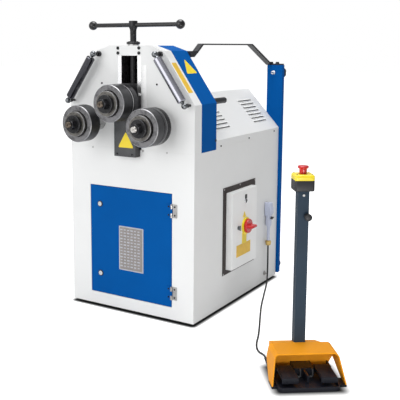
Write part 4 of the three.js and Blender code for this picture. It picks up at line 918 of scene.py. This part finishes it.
def make_links():
    # The left link's tube takes the darker satin copy, as painted shade.
    for name, sign, tube in (("left", -1, SATIN_SHADED), ("right", 1, SATIN)):
        upper, lower = (Vector((sign * x, -LINK_OFF, z)) for x, z in (LINK_TOP, LINK_LOW))
        half = (upper - lower).length / 2
        place = moved(*((upper + lower) / 2)) @ facing(upper - lower, TO_FRONT)
        end = half - TUBE_START
        turned(f"{name}_link_tube", [
            (0, -end), (14.5, -end), (TUBE, -end + 2.6), (TUBE, end - 2.6), (14.5, end), (0, end),
        ], tube, place=place, count=64, replaces=(f"side_link_{name}",))

        def ends(bm, half=half, end=end):
            for way in (-1, 1):
                neck = way * (half - 9)
                add_turned(bm, [(0, way * end), (5.5, way * end), (5.5, neck), (0, neck)], count=32)
                add_loft(bm, [ring_of(reach, way * (end + rise), count=36) for reach, rise in (
                    (hexagon(9), 0), (hexagon(9), 5.6), (7.4, 6.8))])
                angles = [-PI / 2 + PI * step / 16 for step in range(1, 16)]
                add_turned(bm, [
                    (0, way * (half - BALL)),
                    *((BALL * math.cos(angle), way * (half + BALL * math.sin(angle))) for angle in angles),
                    (0, way * (half + BALL)),
                ], count=40)
        piece(f"{name}_link_ends", ends, LINK_STEEL, place=place)

        def studs(bm, sign=sign):
            top, low = ((sign * x, 0, z) for x, z in (LINK_TOP, LINK_LOW))
            add_turned(bm, [(0, -36), (6.5, -36), (6.5, -12), (0, -12)], "Y", top, 40)
            add_turned(bm, [(0, -13.5), (9.5, -13.5), (11.5, -11.5), (11.5, -0.1), (0, -0.1)], "Y", top, 48)
            add_turned(bm, [(0, -36), (5.5, -36), (5.5, -0.1), (0, -0.1)], "Y", low, 40)
            shape = hexagon(9.4, 0.3)
            add_loft(bm,
                [ring_of(reach, y, "Y", low, 48) for reach, y in ((shape, -30), (shape, -21), (7, -20.6))])
        piece(f"{name}_link_studs", studs, OXIDE)

    turned("peg_sleeve", [
        (0, 289.2), (11.8, 289.2), (13, 287.8), (13, 190), (11.5, 186), (11.5, 184.4), (0, 184.4),
    ], BLACK, centre=(300, 0, 935), axis="Y", count=48)


# Rear post, bow, knob and bumper

def make_rear():
    cad(BLUE, 1.2, "rear_post")
    cad(BLACK, 0.8, "rear_bow")

    def bolts(bm):
        for x in (268, 300):
            add_bolt(bm, (x, 844.5, 1082.3), TO_TOP, 9, 7, 10.5, 2)
        add_bolt(bm, (178.5, 200, 1128), (1, 0, 0.3), 8, 6, 10, 2)
    piece("bow_bolts", bolts, OXIDE)
    piece("post_bolt", lambda bm: add_bolt(bm, (284, 832.3, 1039), TO_FRONT, 9, 7, 11, 2), CHROME)

    def lobed(radius):
        return lambda angle: radius - 2.2 * (0.5 + 0.5 * math.cos(7 * angle))

    start, disc = 835.6, 870.6
    rings = [ring_of(reach, y, "Y", count=112) for reach, y in (
        (7, start), (7, disc - 4), (16, disc - 1), (lobed(30), disc), (lobed(33.2), disc + 2),
        (lobed(34), disc + 5), (lobed(34), disc + 16), (lobed(33), disc + 19.5), (lobed(30), disc + 21.5),
        (24, disc + 22), (10, disc + 21.4),
    )]
    piece(
        "post_knob", lambda bm: add_loft(bm, rings), BLACK_PLASTIC, "rear_knob", moved(297, 0, 1037),
        replaces=("rear_knob",), smooth=50)

    turned("bumper_pad", [
        (0, 862), (21.6, 862), (21.6, 880.3), (20, 884), (16, 885.7), (8, 885.9), (0, 885.9),
    ], RUBBER, centre=(306, 0, 60), axis="Y", count=48)


# Control box

FACE_X, SWITCH_Y, SWITCH_Z = 352.6, 411, 358
LID_FACE = FACE_X + 0.35


def make_control():
    cad(BROWN, 0.8, "control_box")
    cad(LID, 2.5, "control_lid", segments=3)
    centres = [(322.3, y, z) for y in (257, 411, 564) for z in (161, 545)]
    screws("flange_screws", [(centres, TO_RIGHT, 4, 2.2)], ZINC)
    turned("switch_plate", [
        (0, LID_FACE), (39, LID_FACE), (39, 359.6), (37.4, 361), (0, 361),
    ], YELLOW, "lid", (0, SWITCH_Y, SWITCH_Z), "X", count=96, replaces=("switch_collar",))

    def films(bm):
        turn = toward((FACE_X, 0, 0), TO_RIGHT)
        add_plate(bm, rectangle((378, 279), (420, 330), 3), 0.05, 2.2, 0, turn, 0.5)
        add_plate(bm, rectangle((323, 226), (464, 280.5), 3), 0.05, 0.5, 1, turn)
        add_plate(bm, rounded([(380, 400), (415, 400), (400, 428)], 3), 0.05, 0.5, 0, turn)
    piece("lid_films", films, [LABEL, OCHRE], "lid")

    def lock(bm):
        add_turned(bm, [
            (0, 0, 0), (12.5, 0, 0), (12.5, 2.6, 0), (10.6, 5, 0), (8.2, 5.6, 0), (7.8, 5, 1), (0, 5, 1),
        ], count=48, turn=toward((FACE_X, 408, 474), TO_RIGHT))
        add_box(bm, (FACE_X + 0.1, 402, 485), (FACE_X + 4, 416, 503), 1)
    piece("key_lock", lock, [CHROME, OXIDE], "lid")

    def handle(bm):
        add_turned(bm, [
            (0, 361.2), (31.5, 361.2), (32.5, 362.2), (32.5, 371.5), (30.9, 374), (0, 374.2),
        ], "X", count=96)
        add_loft(bm, [
            [Vector((x, *p)) for p in rectangle((-length, -width), (length, width), min(width * 0.9, 5.5), 6)]
            for x, length,
            width in ((372, 27, 8.5), (380, 27, 7), (394, 26.5, 6), (398.6, 25.5, 5.4), (400.2, 23.5, 3.8))
        ])
    piece(
        "main_switch_grip", handle, RED, "main_switch", moved(0, SWITCH_Y, SWITCH_Z),
        replaces=("switch_handle",), smooth=45)

    def wing(bm):
        add_turned(bm, [(0, LID_FACE), (9.5, LID_FACE), (9.5, 356.6), (8, 358.2), (0, 358.4)], "X", count=48)
        add_loft(bm, [
            [Vector((x, *p)) for p in rectangle((-width, -length), (width, length), width * 0.8, 4)]
            for x, length, width in ((357, 9, 3), (362, 11.5, 2.6), (365, 12, 2.3), (366, 11, 1.4))
        ])
    piece("wing_lock", wing, LINK_STEEL, "lid_lock", moved(0, 339, 361), replaces=("lid_lock",))


# Outlet and plug

def make_outlet():
    home = moved(PLUG_X, PLUG_Y, 0)

    def outlet(bm):
        levels = (
            (350, -1), (350.8, -0.4), (357, -0.4), (358.5, 0.6), (396, 0.6), (408, -1), (412, -3.4),
            (413, -6))
        add_loft(bm, [
            [Vector((*p, z)) for p in rectangle(
                (SIDE + 0.3 - PLUG_X, -16 - grow), (16 + grow, 16 + grow), 9 if grow >= 0 else 6, 8)]
            for z, grow in levels
        ])
        add_box(bm, (12, -17.5, 358), (18.5, 17.5, 389))
    piece("outlet_body", outlet, PALE, place=home, bevel=1, replaces=("outlet_housing",), smooth=40)
    turned("plug_body", [
        (0, 224.3), (7.5, 224.3), (7.6, 240), (7.8, 286), (9.5, 293), (13, 300), (14.5, 306), (14.5, 330),
        (13.9, 330.6), (13.9, 333), (14.5, 333.6), (14.5, 348.6), (13.6, 349.6), (0, 349.6),
    ], PALE, place=home, count=64, replaces=("cord_plug",), smooth=40)
    cad(BLACK_PLASTIC, 1, "plug_lever")

    def gland(bm):
        shape = hexagon(14.4, 0.3)
        add_loft(bm, [ring_of(reach, z, count=48) for reach, z in (
            (6, 200), (11.6, 200.4), (12.6, 203), (12.6, 207),
            (shape, lambda reach: 207 + max(0, reach - 12.8) * 0.6),
            (shape, lambda reach: 221.4 - max(0, reach - 12.8) * 0.6),
            (12.6, 221.4), (7.5, 222), (7.5, 224),
        )])
    piece("brass_gland", gland, BRASS, place=home, replaces=("cord_gland",), smooth=30)

    def earth(bm):
        add_bolt(bm, (SIDE, 697, 54), TO_RIGHT, 8, 6, 12, 2)
        add_turned(bm, [(0, 0), (4, 0), (4, 15), (3.4, 16), (0, 16)], count=24,
            turn=toward((SIDE, 697, 54), TO_RIGHT))
    piece("earth_stud", earth, ZINC)


# Foot-switch stand

def make_stand():
    cad(TRAY, 1.2, "stand_base")
    cad(SLATE, 2, "stand_column", segments=3)
    cad(ORANGE, 1.5, "stand_guard", segments=3)
    cad(TRAY, 1.5, "pedal_left", "pedal_right")
    for name, x in (("left", -68.5), ("right", 68.5)):
        ribs = [((x - 25, y, 37.5),
            (x + 25, y + 4.2, 38.9)) for y in (38 + index * 9.5 for index in range(10))]
        blocks(f"pedal_{name}_ribs", ribs, TRAY, f"pedal_{name}", 0.5, STAND)

    blocks("housing_lugs", [
        ((-17, 97, 9), (-14, 113, 37)), ((-27, 97, 9), (-14, 100, 15)),
        ((27, 97, 9), (30, 113, 37)), ((17, 97, 9), (30, 100, 15)),
    ], DARK_PLATE, place=STAND, bevel=0.6)
    turned("column_grip", [
        (0, -26), (8, -25.6), (11.4, -24), (13, -21), (13, -13), (11.6, -9.6), (7, -8), (7, -3), (11, -2.4),
        (11, 0), (0, 0),
    ], BLACK_PLASTIC, "column_knob", axis="Y", place=moved(14, 182.7, 570, STAND), count=48,
        replaces=("column_knob",))
    screws("column_screw", [([(0, 183, 646)], TO_FRONT, 4.5, 2.6)], ZINC, place=STAND)

    home = moved(0, 203, 0, STAND)

    def square(half, z):
        return [Vector((*p, z)) for p in rectangle((-half, -half), (half, half), 9, 6)]

    def round_of(ring, radius, z):
        """A circle with one point below each point of a ring."""
        return [Vector((radius * p.x / p.xy.length, radius * p.y / p.xy.length, z)) for p in ring]

    def case(bm):
        levels = ((33.6, 662.3), (35, 663.6), (35.5, 666), (35.5, 698.6), (34.8, 699.8))
        rings = [square(half, z) for half, z in levels]
        rings = [ring[3:] + ring[:3] for ring in rings]
        add_loft(bm, rings + [round_of(rings[0], 11.4, z) for z in (699.8, 668)])
    piece("stop_housing", case, BLACK_PLASTIC, place=home, replaces=("stop_case",), smooth=40)

    def cover(bm):
        levels = ((34.8, 700.4), (35.5, 701.4), (35.5, 713), (34.6, 717.6), (32, 720.4), (28.5, 721))
        rings = [square(half, z) for half, z in levels]
        well = ((19, 721), (18, 719.6), (17.4, 716.2), (11.4, 716), (11.4, 700.4))
        add_loft(bm, rings + [round_of(rings[0], radius, z) for radius, z in well], closed=True)
    piece("stop_cover", cover, YELLOW, place=home, replaces=("stop_lid",), smooth=40)
    corners = [(x, y, 720.2) for x, y in ((-27, -27), (27, -27), (27, 27), (-27, 27))]
    screws("stop_cover_screws", [(corners, TO_TOP, 3, 1.4)], OXIDE, place=home)
    turned("stop_mushroom", [
        (0, 688.2), (11, 688.2), (11, 722), (13.2, 724), (13.5, 727), (13.5, 736), (14.5, 739), (18.6, 741.4),
        (19.5, 743), (19.5, 746), (18.8, 748.4), (16.6, 749.6), (12, 749.9), (0, 750),
    ], RED, "stop_button", place=home, count=64, replaces=("stop_button",))

    relief = [(4.3, 0), (6.8, 0), (7.5, 1)]
    for index in range(10):
        y = 4 + index * 4.6
        r = 7.5 - 1.5 * y / RELIEF_LENGTH
        relief += [(r, y), (r - 1.2, y + 0.6), (r - 1.2, y + 1.8), (r - 0.1, y + 2.4)]
    relief += [(6, RELIEF_LENGTH - 0.4), (4.3, RELIEF_LENGTH - 0.4)]
    turned(
        "cord_sleeve", relief, RUBBER, axis="Y", place=moved(RELIEF_X, RELIEF_START, RELIEF_Z, STAND),
        count=40,
        closed=True, replaces=("cord_relief",))


make_cabinet()
make_louvres()
make_covers()
make_door()
make_rolls()
make_slide()
make_spindle()
make_links()
make_rear()
make_control()
make_outlet()
make_stand()


# Floor and light

def make_stage():
    bm = bmesh.new()
    bmesh.ops.create_grid(bm, x_segments=1, y_segments=1, size=30)
    mesh = bpy.data.meshes.new("floor")
    bm.to_mesh(mesh)
    bm.free()
    mesh.materials.append(FLOOR)
    add_object("floor", mesh)


def area(name, place, target, size, power):
    data = bpy.data.lights.new(name, "AREA")
    data.shape = "RECTANGLE"
    data.size, data.size_y = size
    data.energy = power
    lamp = add_object(name, data)
    lamp.location = place
    lamp.rotation_euler = (Vector(target) - Vector(place)).to_track_quat("-Z", "Y").to_euler()
    lamp.visible_camera = False


WORLD_LEVEL, WORLD_ACROSS, WORLD_ALONG = 0.58, -0.30, -0.22
WORLD_TINT, WORLD_SEEN = (0.985, 0.99, 1, 1), (1, 1, 1, 1)


def make_world():
    """A white studio: bright from the left and the front, dimmer from the right and the rear."""
    world = bpy.data.worlds.new("studio")
    bpy.context.scene.world = world
    world.use_nodes = True
    net = world.node_tree
    coords = node(net, "ShaderNodeTexCoord", {}).outputs["Generated"]
    parts = node(net, "ShaderNodeSeparateXYZ", {"Vector": coords}).outputs
    across = maths(net, "MULTIPLY_ADD", parts["X"], WORLD_ACROSS, WORLD_LEVEL)
    strength = maths(net, "MULTIPLY_ADD", parts["Y"], WORLD_ALONG, across)
    lit = net.nodes["Background"]
    feed(net, lit.inputs, {"Strength": strength, "Color": WORLD_TINT})
    seen = node(net, "ShaderNodeBackground", {"Strength": 1.0, "Color": WORLD_SEEN})
    path = node(net, "ShaderNodeLightPath", {}).outputs["Is Camera Ray"]
    mix = node(net, "ShaderNodeMixShader", {
        0: path, 1: lit.outputs["Background"], 2: seen.outputs["Background"]})
    net.links.new(mix.outputs["Shader"], net.nodes["World Output"].inputs["Surface"])


def make_lights():
    bpy.context.scene.view_settings.view_transform = "Standard"
    make_world()
    area("key", (-0.8, -4.9, 2.1), (0.2, -0.2, 0.9), (4.4, 3.4), 80)
    area("stand_fill", (1.60, -1.65, 0.22), (0.92, -0.65, 0.06), (0.7, 0.3), 6)
    area("rim", (3.4, 2.4, 2.6), (0.2, 0.2, 0.9), (1.6, 2.0), 3)
    area("top", (0.3, 0.0, 4.2), (0.3, 0.1, 0.9), (2.6, 2.6), 125)


make_stage()
make_lights()
